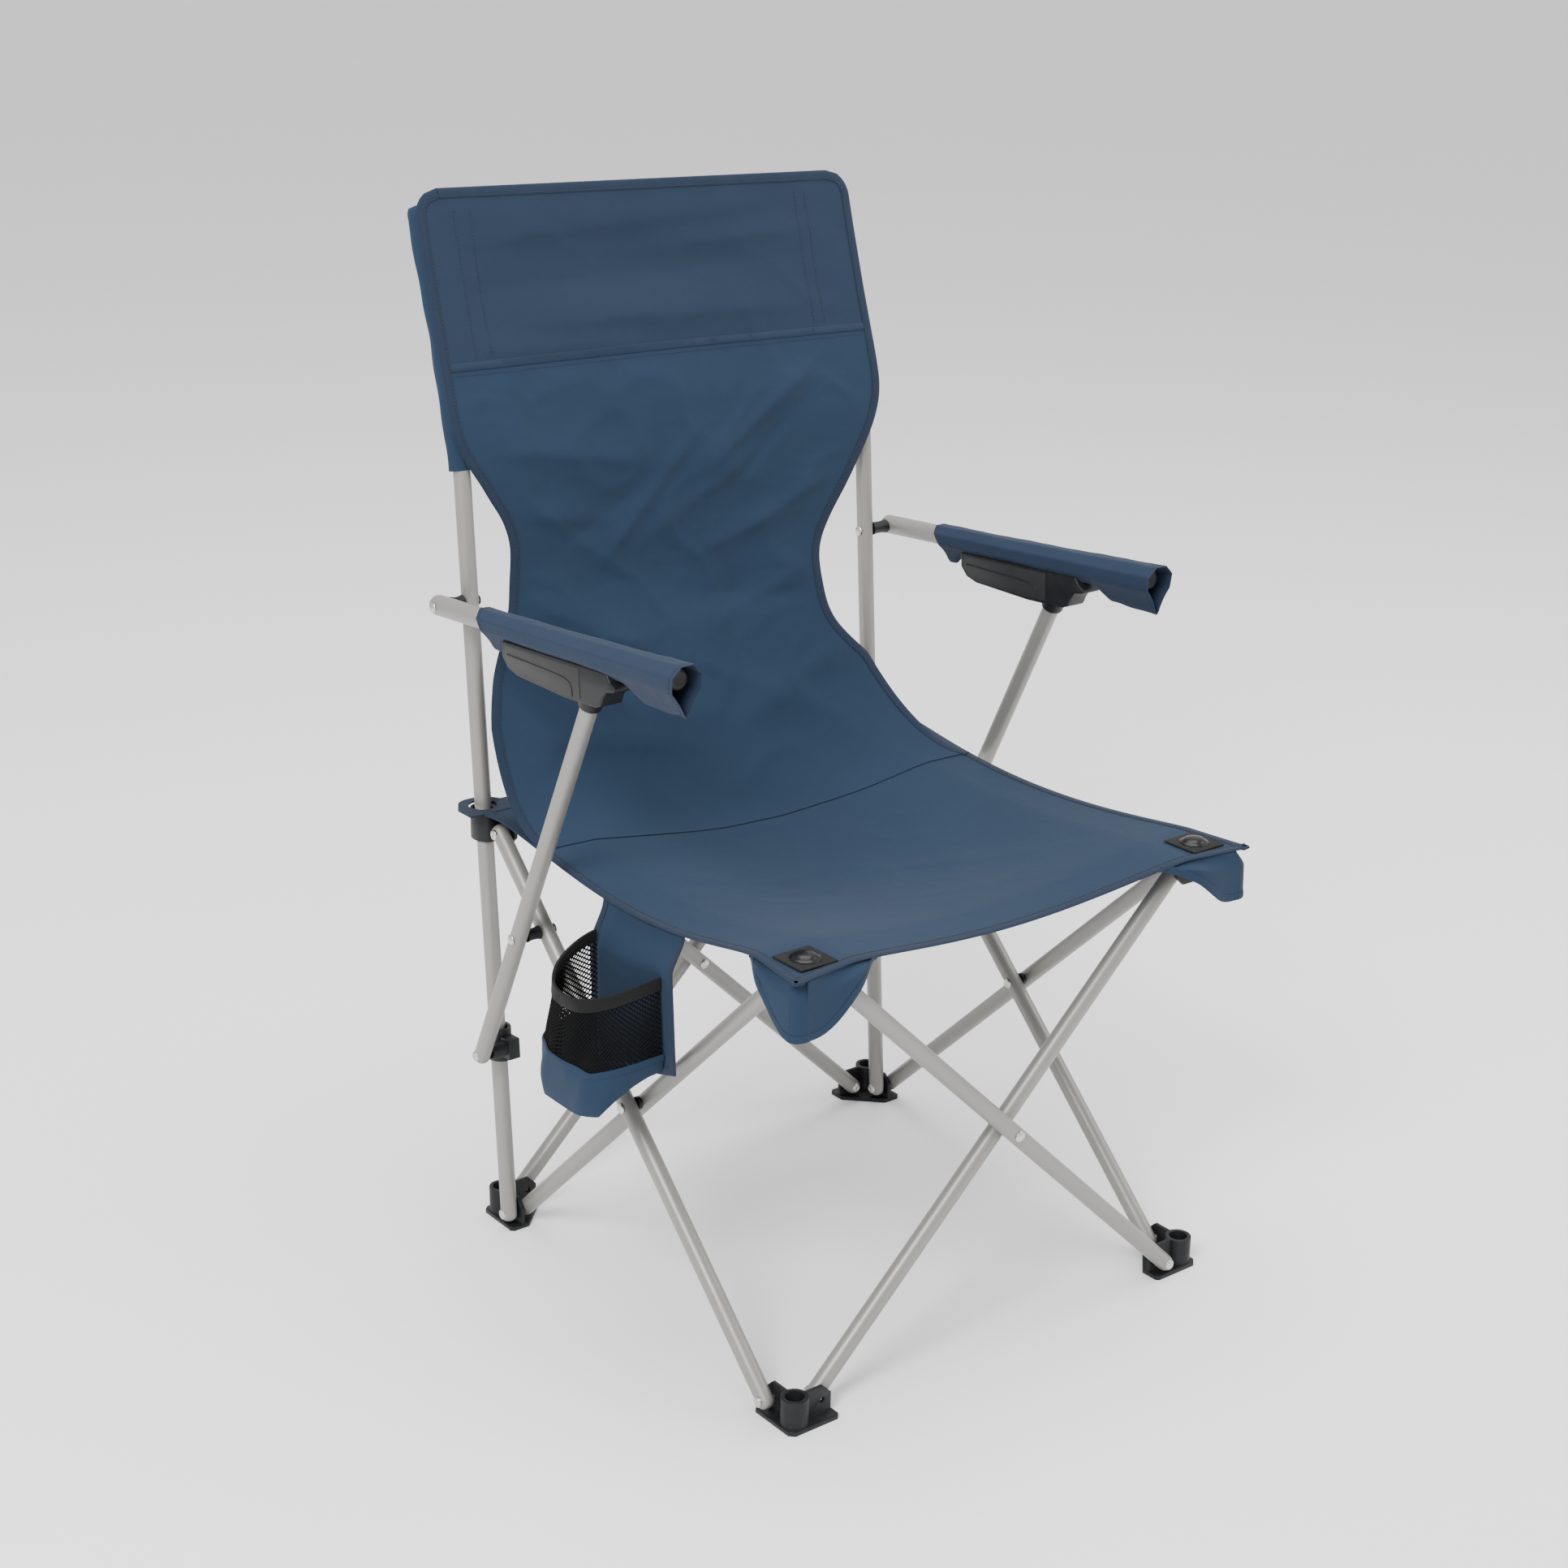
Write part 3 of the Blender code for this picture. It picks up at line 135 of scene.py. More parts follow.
class Graph:
    """A material's node tree, built by expressions."""

    def __init__(self, name: str) -> None:
        """Make an empty material with a Principled shader and an output."""
        self.material = bpy.data.materials.new(name)
        self.material.use_nodes = True
        self.tree = self.material.node_tree
        self.tree.nodes.clear()
        self.shader = self.tree.nodes.new("ShaderNodeBsdfPrincipled")
        output = self.tree.nodes.new("ShaderNodeOutputMaterial")
        self.tree.links.new(self.shader.outputs[0], output.inputs[0])

    def add(self, kind: str, settings: Optional[dict[str, Any]] = None,
            sockets: Optional[dict[Any, Any]] = None, out: Any = 0) -> Sig:
        """Add a node.

        Args:
            kind: Node type.
            settings: Properties set before the sockets.
            sockets: Socket name or index to a value or a Sig.
            out: Output name or index.

        Returns:
            The chosen output.
        """
        node = self.tree.nodes.new(kind)
        for key, value in (settings or {}).items():
            setattr(node, key, value)
        for key, value in (sockets or {}).items():
            if isinstance(value, Sig):
                self.tree.links.new(value.socket, node.inputs[key])
            else:
                node.inputs[key].default_value = value
        return Sig(self, node.outputs[out])

    def ramp(self, factor: Sig, stops: Sequence[Pair]) -> Sig:
        """Grey ramp of (position, value) stops."""
        ramp = self.add("ShaderNodeValToRGB", None, {"Fac": factor})
        elements = ramp.socket.node.color_ramp.elements
        while len(elements) < len(stops):
            elements.new(0.5)
        for element, (position, value) in zip(elements, stops):
            element.position = position
            element.color = (value, value, value, 1)
        return ramp

    def noise(self, vector: Sig, scale: float, detail: float = 3.0, rough: float = 0.5) -> Sig:
        """Noise value round 0.5."""
        sockets = {"Vector": vector, "Scale": scale, "Detail": detail, "Roughness": rough}
        return self.add("ShaderNodeTexNoise", None, sockets, "Fac")

    def place(self, vector: Sig, scale: Point = (1, 1, 1), turn: Point = (0, 0, 0)) -> Sig:
        """Scale and turn coordinates."""
        return self.add("ShaderNodeMapping", None,
                        {"Vector": vector, "Scale": scale, "Rotation": turn})

    def mix(self, factor: Any, low: Any, high: Any) -> Sig:
        """Mix two colours."""
        return self.add("ShaderNodeMix", {"data_type": "RGBA"}, {0: factor, 6: low, 7: high}, 2)

    def coords(self) -> Sig:
        """Object coordinates, in metres."""
        return self.add("ShaderNodeTexCoord", None, None, "Object")

    def uv(self) -> Sig:
        """The cloth's own coordinates, in metres along its threads."""
        return self.add("ShaderNodeUVMap", {"uv_map": "threads"})

    def parts(self, vector: Sig) -> tuple[Sig, Sig, Sig]:
        """X, Y and Z of a vector."""
        node = self.add("ShaderNodeSeparateXYZ", None, {0: vector})
        outs = node.socket.node.outputs
        return Sig(self, outs[0]), Sig(self, outs[1]), Sig(self, outs[2])

    def bump(self, height: Sig, distance: float, strength: float = 1.0,
             under: Optional[Sig] = None) -> Sig:
        """Bump normal from a height."""
        sockets = {"Height": height, "Distance": distance, "Strength": strength}
        if under is not None:
            sockets["Normal"] = under
        return self.add("ShaderNodeBump", None, sockets)

    def finish(self, **sockets: Any) -> bpy.types.Material:
        """Fill the shader's sockets, with underscores for spaces, and return the material."""
        for key, value in sockets.items():
            name = key.replace("_", " ")
            if isinstance(value, Sig):
                self.tree.links.new(value.socket, self.shader.inputs[name])
            else:
                self.shader.inputs[name].default_value = value
        return self.material


# ------------------------------------------------------------------ finishes
def shade_of(color: Colour, share: float) -> Colour:
    """A darker shade of a colour."""
    return (color[0] * share, color[1] * share, color[2] * share, 1)


@dataclass(frozen=True)
class TubePaint:
    """Satin warm grey powder coat on steel tube."""

    name: str = "tube_paint"
    color: Colour = (0.238, 0.232, 0.216, 1)
    scuff: Colour = (0.200, 0.195, 0.182, 1)

    def make(self) -> bpy.types.Material:
        """Build the material."""
        g = Graph(self.name)
        at = g.coords()
        speck = g.noise(at, 2600, 2)
        cloud = g.noise(at, 22, 4)
        rub = g.ramp(g.noise(g.place(at, (1, 1, 0.25)), 160, 5, 0.65), [(0.60, 0.0), (0.74, 1.0)])
        tone = g.mix(cloud, self.color, shade_of(self.color, 0.93))
        tone = g.mix(rub * 0.35, tone, self.scuff)
        tone = g.mix((speck - 0.5).absolute() * 0.35, tone, (0.36, 0.35, 0.33, 1))
        rough = 0.36 + 0.10 * cloud + 0.12 * rub
        normal = g.bump(speck, 0.00006, 0.5, g.bump(g.noise(at, 420, 3), 0.00012, 0.4))
        return g.finish(Base_Color=tone, Roughness=rough, Metallic=0.35, Normal=normal)


@dataclass(frozen=True)
class RivetZinc:
    """Bright zinc on rivets and bolts."""

    name: str = "rivet_zinc"

    def make(self) -> bpy.types.Material:
        """Build the material."""
        g = Graph(self.name)
        at = g.coords()
        cloud = g.noise(at, 700, 4)
        tone = g.mix(cloud, (0.62, 0.61, 0.58, 1), (0.44, 0.43, 0.41, 1))
        return g.finish(Base_Color=tone, Roughness=0.22 + 0.25 * cloud, Metallic=1.0,
                        Normal=g.bump(cloud, 0.00008, 0.4))


@dataclass(frozen=True)
class MouldedPlastic:
    """Black moulding with a fine spark-eroded grain."""

    name: str = "moulded_black"
    color: Colour = (0.006, 0.0064, 0.0072, 1)
    worn: Colour = (0.020, 0.021, 0.023, 1)
    grain: float = 1500.0
    gloss: float = 0.38

    def make(self) -> bpy.types.Material:
        """Build the material."""
        g = Graph(self.name)
        at = g.coords()
        grain = g.noise(at, self.grain, 3)
        cloud = g.noise(at, 60, 4)
        dust = g.ramp(g.noise(at, 240, 5, 0.7), [(0.52, 0.0), (0.78, 1.0)])
        tone = g.mix(0.25 * cloud + 0.5 * dust, self.color, self.worn)
        normal = g.bump(grain, 0.00010, 0.6)
        return g.finish(Base_Color=tone, Roughness=self.gloss + 0.16 * cloud + 0.1 * dust,
                        Normal=normal, Specular_IOR_Level=0.25)


@dataclass(frozen=True)
class Woven:
    """Plain-woven polyester whose threads follow the cloth's own coordinates."""

    name: str
    color: Colour
    deep: Colour
    pitch: float = 0.00085
    sheen: float = 0.04
    roughness: float = 0.72
    crease: float = 0.0009

    def make(self) -> bpy.types.Material:
        """Build the material."""
        g = Graph(self.name)
        uv = g.uv()
        u, v, _ = g.parts(uv)
        turn = TAU / self.pitch
        warp = (u * turn).sine()
        weft = (v * turn).sine()
        weave = (warp * weft) * 0.5 + 0.5
        streak_u = g.noise(g.place(uv, (1400, 30, 1)), 1.0, 2)
        streak_v = g.noise(g.place(uv, (30, 1400, 1)), 1.0, 2)
        slub = streak_u * 0.5 + streak_v * 0.5
        cloud = g.noise(uv, 7, 5, 0.55)
        blotch = g.noise(uv, 34, 4, 0.6)
        shade = (cloud * 0.55 + blotch * 0.25 + slub * 0.30 - 0.1).clamp()
        tone = g.mix(shade, self.deep, self.color)
        tone = g.mix((weave * 0.22).clamp(), tone, shade_of(self.deep, 0.55))
        height = weave * 0.6 + slub * 0.8
        soft = g.bump(g.noise(uv, 55, 4, 0.6), self.crease, 0.5)
        normal = g.bump(height, 0.00012, 0.6, soft)
        return g.finish(Base_Color=tone, Roughness=self.roughness + 0.12 * blotch, Normal=normal,
                        Sheen_Weight=self.sheen, Sheen_Roughness=0.5, Specular_IOR_Level=0.14)


@dataclass(frozen=True)
class Webbing:
    """Ribbed binding tape."""

    name: str
    color: Colour
    rib: float = 0.0011

    def make(self) -> bpy.types.Material:
        """Build the material."""
        g = Graph(self.name)
        uv = g.uv()
        u, v, _ = g.parts(uv)
        ribs = ((u + v * 0.5) * (TAU / self.rib)).sine() * 0.5 + 0.5
        cloud = g.noise(uv, 60, 4)
        tone = g.mix(ribs * 0.35 + cloud * 0.3, self.color, shade_of(self.color, 0.55))
        return g.finish(Base_Color=tone, Roughness=0.78 + 0.1 * cloud, Sheen_Weight=0.05,
                        Normal=g.bump(ribs, 0.00016, 0.7), Specular_IOR_Level=0.2)


@dataclass(frozen=True)
class Thread:
    """Twisted sewing thread or net cord."""

    name: str
    color: Colour
    shine: float = 0.5

    def make(self) -> bpy.types.Material:
        """Build the material."""
        g = Graph(self.name)
        at = g.coords()
        fibre = g.noise(at, 3000, 2)
        tone = g.mix(fibre, self.color, shade_of(self.color, 0.5))
        return g.finish(Base_Color=tone, Roughness=0.62 + 0.2 * fibre,
                        Sheen_Weight=0.03 * self.shine, Specular_IOR_Level=self.shine,
                        Normal=g.bump(fibre, 0.0001, 0.5))


@dataclass(frozen=True)
class FloorPaper:
    """Plain pale studio floor."""

    name: str = "floor_paper"

    def make(self) -> bpy.types.Material:
        """Build the material."""
        g = Graph(self.name)
        cloud = g.noise(g.coords(), 1.5, 2)
        tone = g.mix(cloud, (0.93, 0.93, 0.93, 1), (0.91, 0.91, 0.915, 1))
        return g.finish(Base_Color=tone, Roughness=0.9)


class Finish(Enum):
    """The finishes of the chair, each with its slot in the record."""

    TUBE = (TubePaint(), "frame_paint")
    RIVET = (RivetZinc(), "rivet_steel")
    PLASTIC = (MouldedPlastic(), "black_moulding")
    BRACKET = (MouldedPlastic("bracket_grey", (0.018, 0.018, 0.0185, 1),
                              (0.032, 0.032, 0.033, 1), 1100.0), "black_moulding")
    STUD = (MouldedPlastic("stud_gloss", (0.005, 0.005, 0.0055, 1),
                           (0.012, 0.012, 0.013, 1), 900.0, 0.14), "black_moulding")
    CLOTH = (Woven("blue_weave", (0.0160, 0.0340, 0.0660, 1),
                   (0.0100, 0.0225, 0.0450, 1)), "blue_cloth")
    # Painted light: the head panel gets a lighter, greyer copy of the blue cloth that stands in for
    # the light on its upward-tilted face.
    HEAD = (Woven("head_weave", (0.0165, 0.0300, 0.0560, 1),
                  (0.0105, 0.0205, 0.0400, 1)), "blue_cloth")
    ARM = (Woven("arm_weave", (0.0190, 0.0320, 0.0610, 1),
                 (0.0125, 0.0215, 0.0430, 1)), "arm_cloth")
    TAPE = (Webbing("navy_tape", (0.0115, 0.0220, 0.0450, 1)), "blue_cloth")
    ELASTIC = (Webbing("black_elastic", (0.0045, 0.0047, 0.005, 1)), "black_mesh")
    NET = (Thread("net_cord", (0.0022, 0.0022, 0.0026, 1), 0.12), "black_mesh")
    SEAM = (Thread("seam_thread", (0.013, 0.020, 0.040, 1)), "blue_cloth")

    @property
    def slot(self) -> str:
        """The record's material slot."""
        return self.value[1]

    @property
    def material(self) -> bpy.types.Material:
        """The material, made once."""
        found = bpy.data.materials.get(self.value[0].name)
        return found or self.value[0].make()


# ------------------------------------------------------------------ mesh helpers
def place(name: str, data: Any) -> bpy.types.Object:
    """Put data into the scene as an object."""
    obj = bpy.data.objects.new(name, data)
    bpy.context.scene.collection.objects.link(obj)
    return obj


def mesh_from(bm: bmesh.types.BMesh, name: str) -> bpy.types.Mesh:
    """Turn an edit mesh into a mesh with thread coordinates, and free it."""
    mesh = bpy.data.meshes.new(name)
    bm.to_mesh(mesh)
    bm.free()
    mesh.uv_layers.new(name="threads")
    return mesh


def soften(obj: bpy.types.Object, width: float, segments: int, angle: float) -> None:
    """Round the edges of a mesh that are sharper than an angle in degrees."""
    bevel = obj.modifiers.new("soft_edges", "BEVEL")
    bevel.width = width
    bevel.segments = segments
    bevel.limit_method = "ANGLE"
    bevel.angle_limit = math.radians(angle)
    apply_modifiers(obj)


def mesh_piece(name: str, verts: Any, faces: Sequence[Sequence[int]], finish: Finish, body: str,
               nodes: Sequence[str] = (), uvs: Optional[Any] = None, smooth: float = 40.0,
               merge: float = 0.0) -> bpy.types.Object:
    """Make a piece that rides on a body.

    Args:
        name: Piece name.
        verts: Points in the row frame.
        faces: Vertex indices of each face.
        finish: Finish of the whole piece.
        body: Body that carries it.
        nodes: CAD nodes it stands for.
        uvs: One (u, v) for each vertex, in metres, or None.
        smooth: Angle below which edges are smooth, in degrees.
        merge: Distance within which points are merged.

    Returns:
        The object.
    """
    mesh = bpy.data.meshes.new(name)
    mesh.from_pydata([tuple(v) for v in verts], [], [tuple(f) for f in faces])
    layer = mesh.uv_layers.new(name="threads")
    if uvs is not None:
        flat = np.array(uvs, np.float32)[np.array([loop.vertex_index for loop in mesh.loops])]
        layer.data.foreach_set("uv", flat.reshape(-1))
    bm = bmesh.new()
    bm.from_mesh(mesh)
    if merge:
        bmesh.ops.remove_doubles(bm, verts=bm.verts[:], dist=merge)
    bmesh.ops.recalc_face_normals(bm, faces=bm.faces[:])
    bm.to_mesh(mesh)
    bm.free()
    return dress(place(name, mesh), finish, body, nodes, smooth)


def shell_piece(name: str, shell: Shell, finish: Finish, body: str, nodes: Sequence[str] = (),
                smooth: float = 40.0) -> bpy.types.Object:
    """Make a piece from a shell of vertices, faces and thread coordinates."""
    verts, faces, uvs = shell
    return mesh_piece(name, verts, faces, finish, body, nodes, uvs, smooth)


def dress(obj: bpy.types.Object, finish: Finish, body: str, nodes: Sequence[str] = (),
          smooth: float = 40.0) -> bpy.types.Object:
    """Give a mesh its finish and body.

    Args:
        obj: The object.
        finish: Its finish.
        body: Body that carries it.
        nodes: CAD nodes it stands for.
        smooth: Angle below which edges are smooth, in degrees.

    Returns:
        The object.
    """
    obj.data.materials.clear()
    obj.data.materials.append(finish.material)
    obj.data.shade_smooth()
    obj.data.set_sharp_from_angle(angle=math.radians(smooth))
    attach(obj, body)
    finish.slot
    if nodes:
        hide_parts(*nodes)
    LOG.info("%s on %s", obj.name, body)
    return obj


def apply_modifiers(obj: bpy.types.Object) -> None:
    """Bake an object's modifiers into its mesh."""
    deps = bpy.context.evaluated_depsgraph_get()
    mesh = bpy.data.meshes.new_from_object(obj.evaluated_get(deps), depsgraph=deps)
    old = obj.data
    obj.modifiers.clear()
    obj.data = mesh
    bpy.data.meshes.remove(old)


def tube_frames(path: np.ndarray, hint: Point = (1, 0, 0)) -> tuple[np.ndarray, np.ndarray]:
    """Side and up vectors along a path, from one hint direction."""
    ahead = np.gradient(path, axis=0)
    ahead /= np.linalg.norm(ahead, axis=1)[:, None]
    side = np.array(hint, float) - ahead * (ahead @ np.array(hint, float))[:, None]
    side /= np.linalg.norm(side, axis=1)[:, None]
    return side, np.cross(ahead, side)


def grid_faces(rows: int, cols: int, wrap: bool = False) -> list[tuple[int, int, int, int]]:
    """Quads of a grid of rows by cols points, closed across the columns if asked."""
    faces = []
    for r in range(rows - 1):
        for c in range(cols if wrap else cols - 1):
            d = (c + 1) % cols
            faces.append((r * cols + c, r * cols + d, (r + 1) * cols + d, (r + 1) * cols + c))
    return faces


def loft(rings: np.ndarray) -> Shell:
    """Tube through rings of points, closed at both ends.

    Args:
        rings: Array of (rings, points, 3).

    Returns:
        Vertices, faces and (u, v) in metres.
    """
    count, size, _ = rings.shape
    faces: list[Sequence[int]] = list(grid_faces(count, size, True))
    faces.append(tuple(range(size))[::-1])
    faces.append(tuple(range((count - 1) * size, count * size)))
    mid = rings.mean(axis=1)
    along = np.r_[0, np.cumsum(np.linalg.norm(np.diff(mid, axis=0), axis=1))]
    edge = np.linalg.norm(np.diff(rings[count // 2], axis=0), axis=1)
    around = np.r_[0, np.cumsum(edge)]
    uvs = np.stack(np.meshgrid(around, along), axis=-1).reshape(-1, 2)
    return rings.reshape(-1, 3), faces, uvs


def swept(path: np.ndarray, radii: Sequence[float], segments: int) -> Shell:
    """Round rod along a path, with a radius for each point."""
    across, up = tube_frames(path)
    turns = np.arange(segments) * TAU / segments
    cos, sin = np.cos(turns), np.sin(turns)
    return loft(np.array([spot + radius * (np.outer(cos, a) + np.outer(sin, b))
                          for spot, radius, a, b in zip(path, radii, across, up)]))


def turned(profile: Sequence[Pair], origin: Any, axis: Any, segments: int = 32) -> Shell:
    """Solid of revolution from (distance along the axis, radius) pairs."""
    ahead = np.array(axis, float)
    ahead /= np.linalg.norm(ahead)
    hint = np.array((0, 0, 1.0)) if abs(ahead[2]) < 0.9 else np.array((1.0, 0, 0))
    side = np.cross(ahead, hint)
    side /= np.linalg.norm(side)
    up = np.cross(ahead, side)
    turns = np.arange(segments) * TAU / segments
    ring = np.outer(np.cos(turns), side) + np.outer(np.sin(turns), up)
    rings = np.array([np.array(origin) + ahead * d + ring * r for d, r in profile])
    return loft(rings)


def tube_profile(radius: float, length: float, end: float, wall: float,
                 open_end: bool = False) -> list[Pair]:
    """Profile of a tube with rounded, drawn-in ends, or one square open end with a bore."""
    start = [(-end, radius * 0.20), (-end + 0.0006, radius * 0.52), (-end + 0.0022, radius * 0.80),
             (-end + 0.0046, radius * 0.955), (-end + 0.0075, radius)]
    mid = [(length * k / 8, radius) for k in range(1, 8)]
    if not open_end:
        return start + mid + [(length - d, r) for d, r in reversed(start)]
    inner = radius - wall
    lip = [(length - 0.0006, radius), (length, radius - 0.0003), (length, inner + 0.0003),
           (length - 0.0006, inner), (length - 0.030, inner), (length - 0.030, inner * 0.1)]
    return start + mid + lip


def rivet_profile(grip: float, head: float = 0.0050, rise: float = 0.0019) -> list[Pair]:
    """Domed rivet with a head at each end of its grip, centred on its origin."""
    dome = [(rise, 0.0004), (rise * 0.93, head * 0.40), (rise * 0.70, head * 0.72),
            (rise * 0.34, head * 0.94), (rise * 0.05, head)]
    shank = 0.0024
    low = [(-grip / 2 - d, r) for d, r in dome] + [(-grip / 2, shank)]
    return low + [(grip / 2, shank)] + [(grip / 2 + d, r) for d, r in reversed(dome)]


# ------------------------------------------------------------------ geometry node runs
class NodeRun:
    """A Geometry Nodes tree built step by step."""

    def __init__(self, name: str, sizes: dict[str, float]) -> None:
        """Start a tree with a geometry input, named sizes and a material."""
        self.tree = bpy.data.node_groups.new(name, "GeometryNodeTree")
        face = self.tree.interface
        face.new_socket("Geometry", in_out="INPUT", socket_type="NodeSocketGeometry")
        for key in sizes:
            face.new_socket(key, in_out="INPUT", socket_type="NodeSocketFloat")
        face.new_socket("Finish", in_out="INPUT", socket_type="NodeSocketMaterial")
        face.new_socket("Geometry", in_out="OUTPUT", socket_type="NodeSocketGeometry")
        self.start = self.tree.nodes.new("NodeGroupInput")
        self.end = self.tree.nodes.new("NodeGroupOutput")
        self.sizes = sizes

    def add(self, kind: str, settings: Optional[dict[str, Any]] = None,
            sockets: Optional[dict[Any, Any]] = None) -> Any:
        """Add a node and link or set its sockets."""
        node = self.tree.nodes.new(kind)
        for key, value in (settings or {}).items():
            setattr(node, key, value)
        for key, value in (sockets or {}).items():
            if isinstance(value, bpy.types.NodeSocket):
                self.tree.links.new(value, node.inputs[key])
            else:
                node.inputs[key].default_value = value
        return node

    def given(self, name: str) -> Any:
        """An input of the tree."""
        return self.start.outputs[name]

    def close(self, geometry: Any) -> None:
        """End the tree with Realize Instances and Set Material."""
        solid = self.add("GeometryNodeRealizeInstances", None, {0: geometry})
        painted = self.add("GeometryNodeSetMaterial", None,
                           {"Geometry": solid.outputs[0], "Material": self.given("Finish")})
        self.tree.links.new(painted.outputs[0], self.end.inputs[0])

    def run(self, obj: bpy.types.Object, finish: Finish) -> bpy.types.Object:
        """Apply the tree to an object's mesh and bake it."""
        mod = obj.modifiers.new(self.tree.name, "NODES")
        mod.node_group = self.tree
        for item in self.tree.interface.items_tree:
            if item.in_out == "INPUT" and item.name in self.sizes:
                mod[item.identifier] = self.sizes[item.name]
            if item.in_out == "INPUT" and item.name == "Finish":
                mod[item.identifier] = finish.material
        bpy.context.view_layer.update()
        apply_modifiers(obj)
        return obj


def path_object(name: str, paths: Sequence[np.ndarray]) -> bpy.types.Object:
    """Edges-only mesh of several open paths."""
    verts: list[Any] = []
    edges = []
    for path in paths:
        base = len(verts)
        verts += [tuple(p) for p in path]
        edges += [(base + i, base + i + 1) for i in range(len(path) - 1)]
    mesh = bpy.data.meshes.new(name)
    mesh.from_pydata(verts, edges, [])
    return place(name, mesh)


@dataclass
class Stitching:
    """A run of lock stitches: short rounded threads at an even pitch along each path."""

    pitch: float = 0.0036
    length: float = 0.0024
    thick: float = 0.0007

    def sew(self, name: str, paths: Sequence[np.ndarray], body: str,
            finish: Finish = Finish.SEAM) -> bpy.types.Object:
        """Sew the paths.

        Args:
            name: Piece name.
            paths: Paths of points on the cloth.
            body: Body that carries the stitches.
            finish: Thread finish.

        Returns:
            The stitches as one mesh.
        """
        run = NodeRun("stitch_run",
                      {"Pitch": self.pitch, "Length": self.length, "Thick": self.thick})
        curve = run.add("GeometryNodeMeshToCurve", None, {0: run.given("Geometry")})
        points = run.add("GeometryNodeCurveToPoints", {"mode": "LENGTH"},
                         {"Curve": curve.outputs[0], "Length": run.given("Pitch")})
        aim = run.add("FunctionNodeAlignRotationToVector", {"axis": "X"},
                      {"Vector": points.outputs["Tangent"]})
        bead = run.add("GeometryNodeMeshUVSphere", None, {"Segments": 6, "Rings": 4, "Radius": 0.5})
        size = run.add("ShaderNodeCombineXYZ", None,
                       {0: run.given("Length"), 1: run.given("Thick"), 2: run.given("Thick")})
        copies = run.add("GeometryNodeInstanceOnPoints", None,
                         {"Points": points.outputs[0], "Instance": bead.outputs[0],
                          "Rotation": aim.outputs[0], "Scale": size.outputs[0]})
        run.close(copies.outputs[0])
        obj = run.run(path_object(name, paths), finish)
        return dress(obj, finish, body, smooth=80)


# ------------------------------------------------------------------ datum of the chair
def joint(name: str) -> np.ndarray:
    """Position of a joint of the record."""
    for item in frame["record"]["behaviour"]["joints"]:
        if item["name"] == name:
            return np.array(item["pos_m"], float)
    raise KeyError(name)


@dataclass
class Datum:
    """Points that every sub-assembly is placed from."""

    left: np.ndarray = field(default_factory=lambda: joint("cross_left"))
    right: np.ndarray = field(default_factory=lambda: joint("cross_right"))
    front: np.ndarray = field(default_factory=lambda: joint("cross_front"))
    rear: np.ndarray = field(default_factory=lambda: joint("cross_rear"))

    @cached_property
    def centre(self) -> np.ndarray:
        """Centre of the footprint, on the floor."""
        across = (self.left[0] + self.right[0]) / 2
        return np.array([across, (self.front[1] + self.rear[1]) / 2, 0.0])

    @cached_property
    def half(self) -> float:
        """Half the distance between ring centres."""
        return float(self.right[0] - self.left[0]) / 2

    @cached_property
    def hub_top(self) -> float:
        """Top of the hub mouldings."""
        return float(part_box("hub_fl")[1].z)

    def at(self, x: float, y: float, z: float) -> np.ndarray:
        """Point from the footprint centre."""
        return self.centre + np.array([x, y, z])


DATUM = Datum()


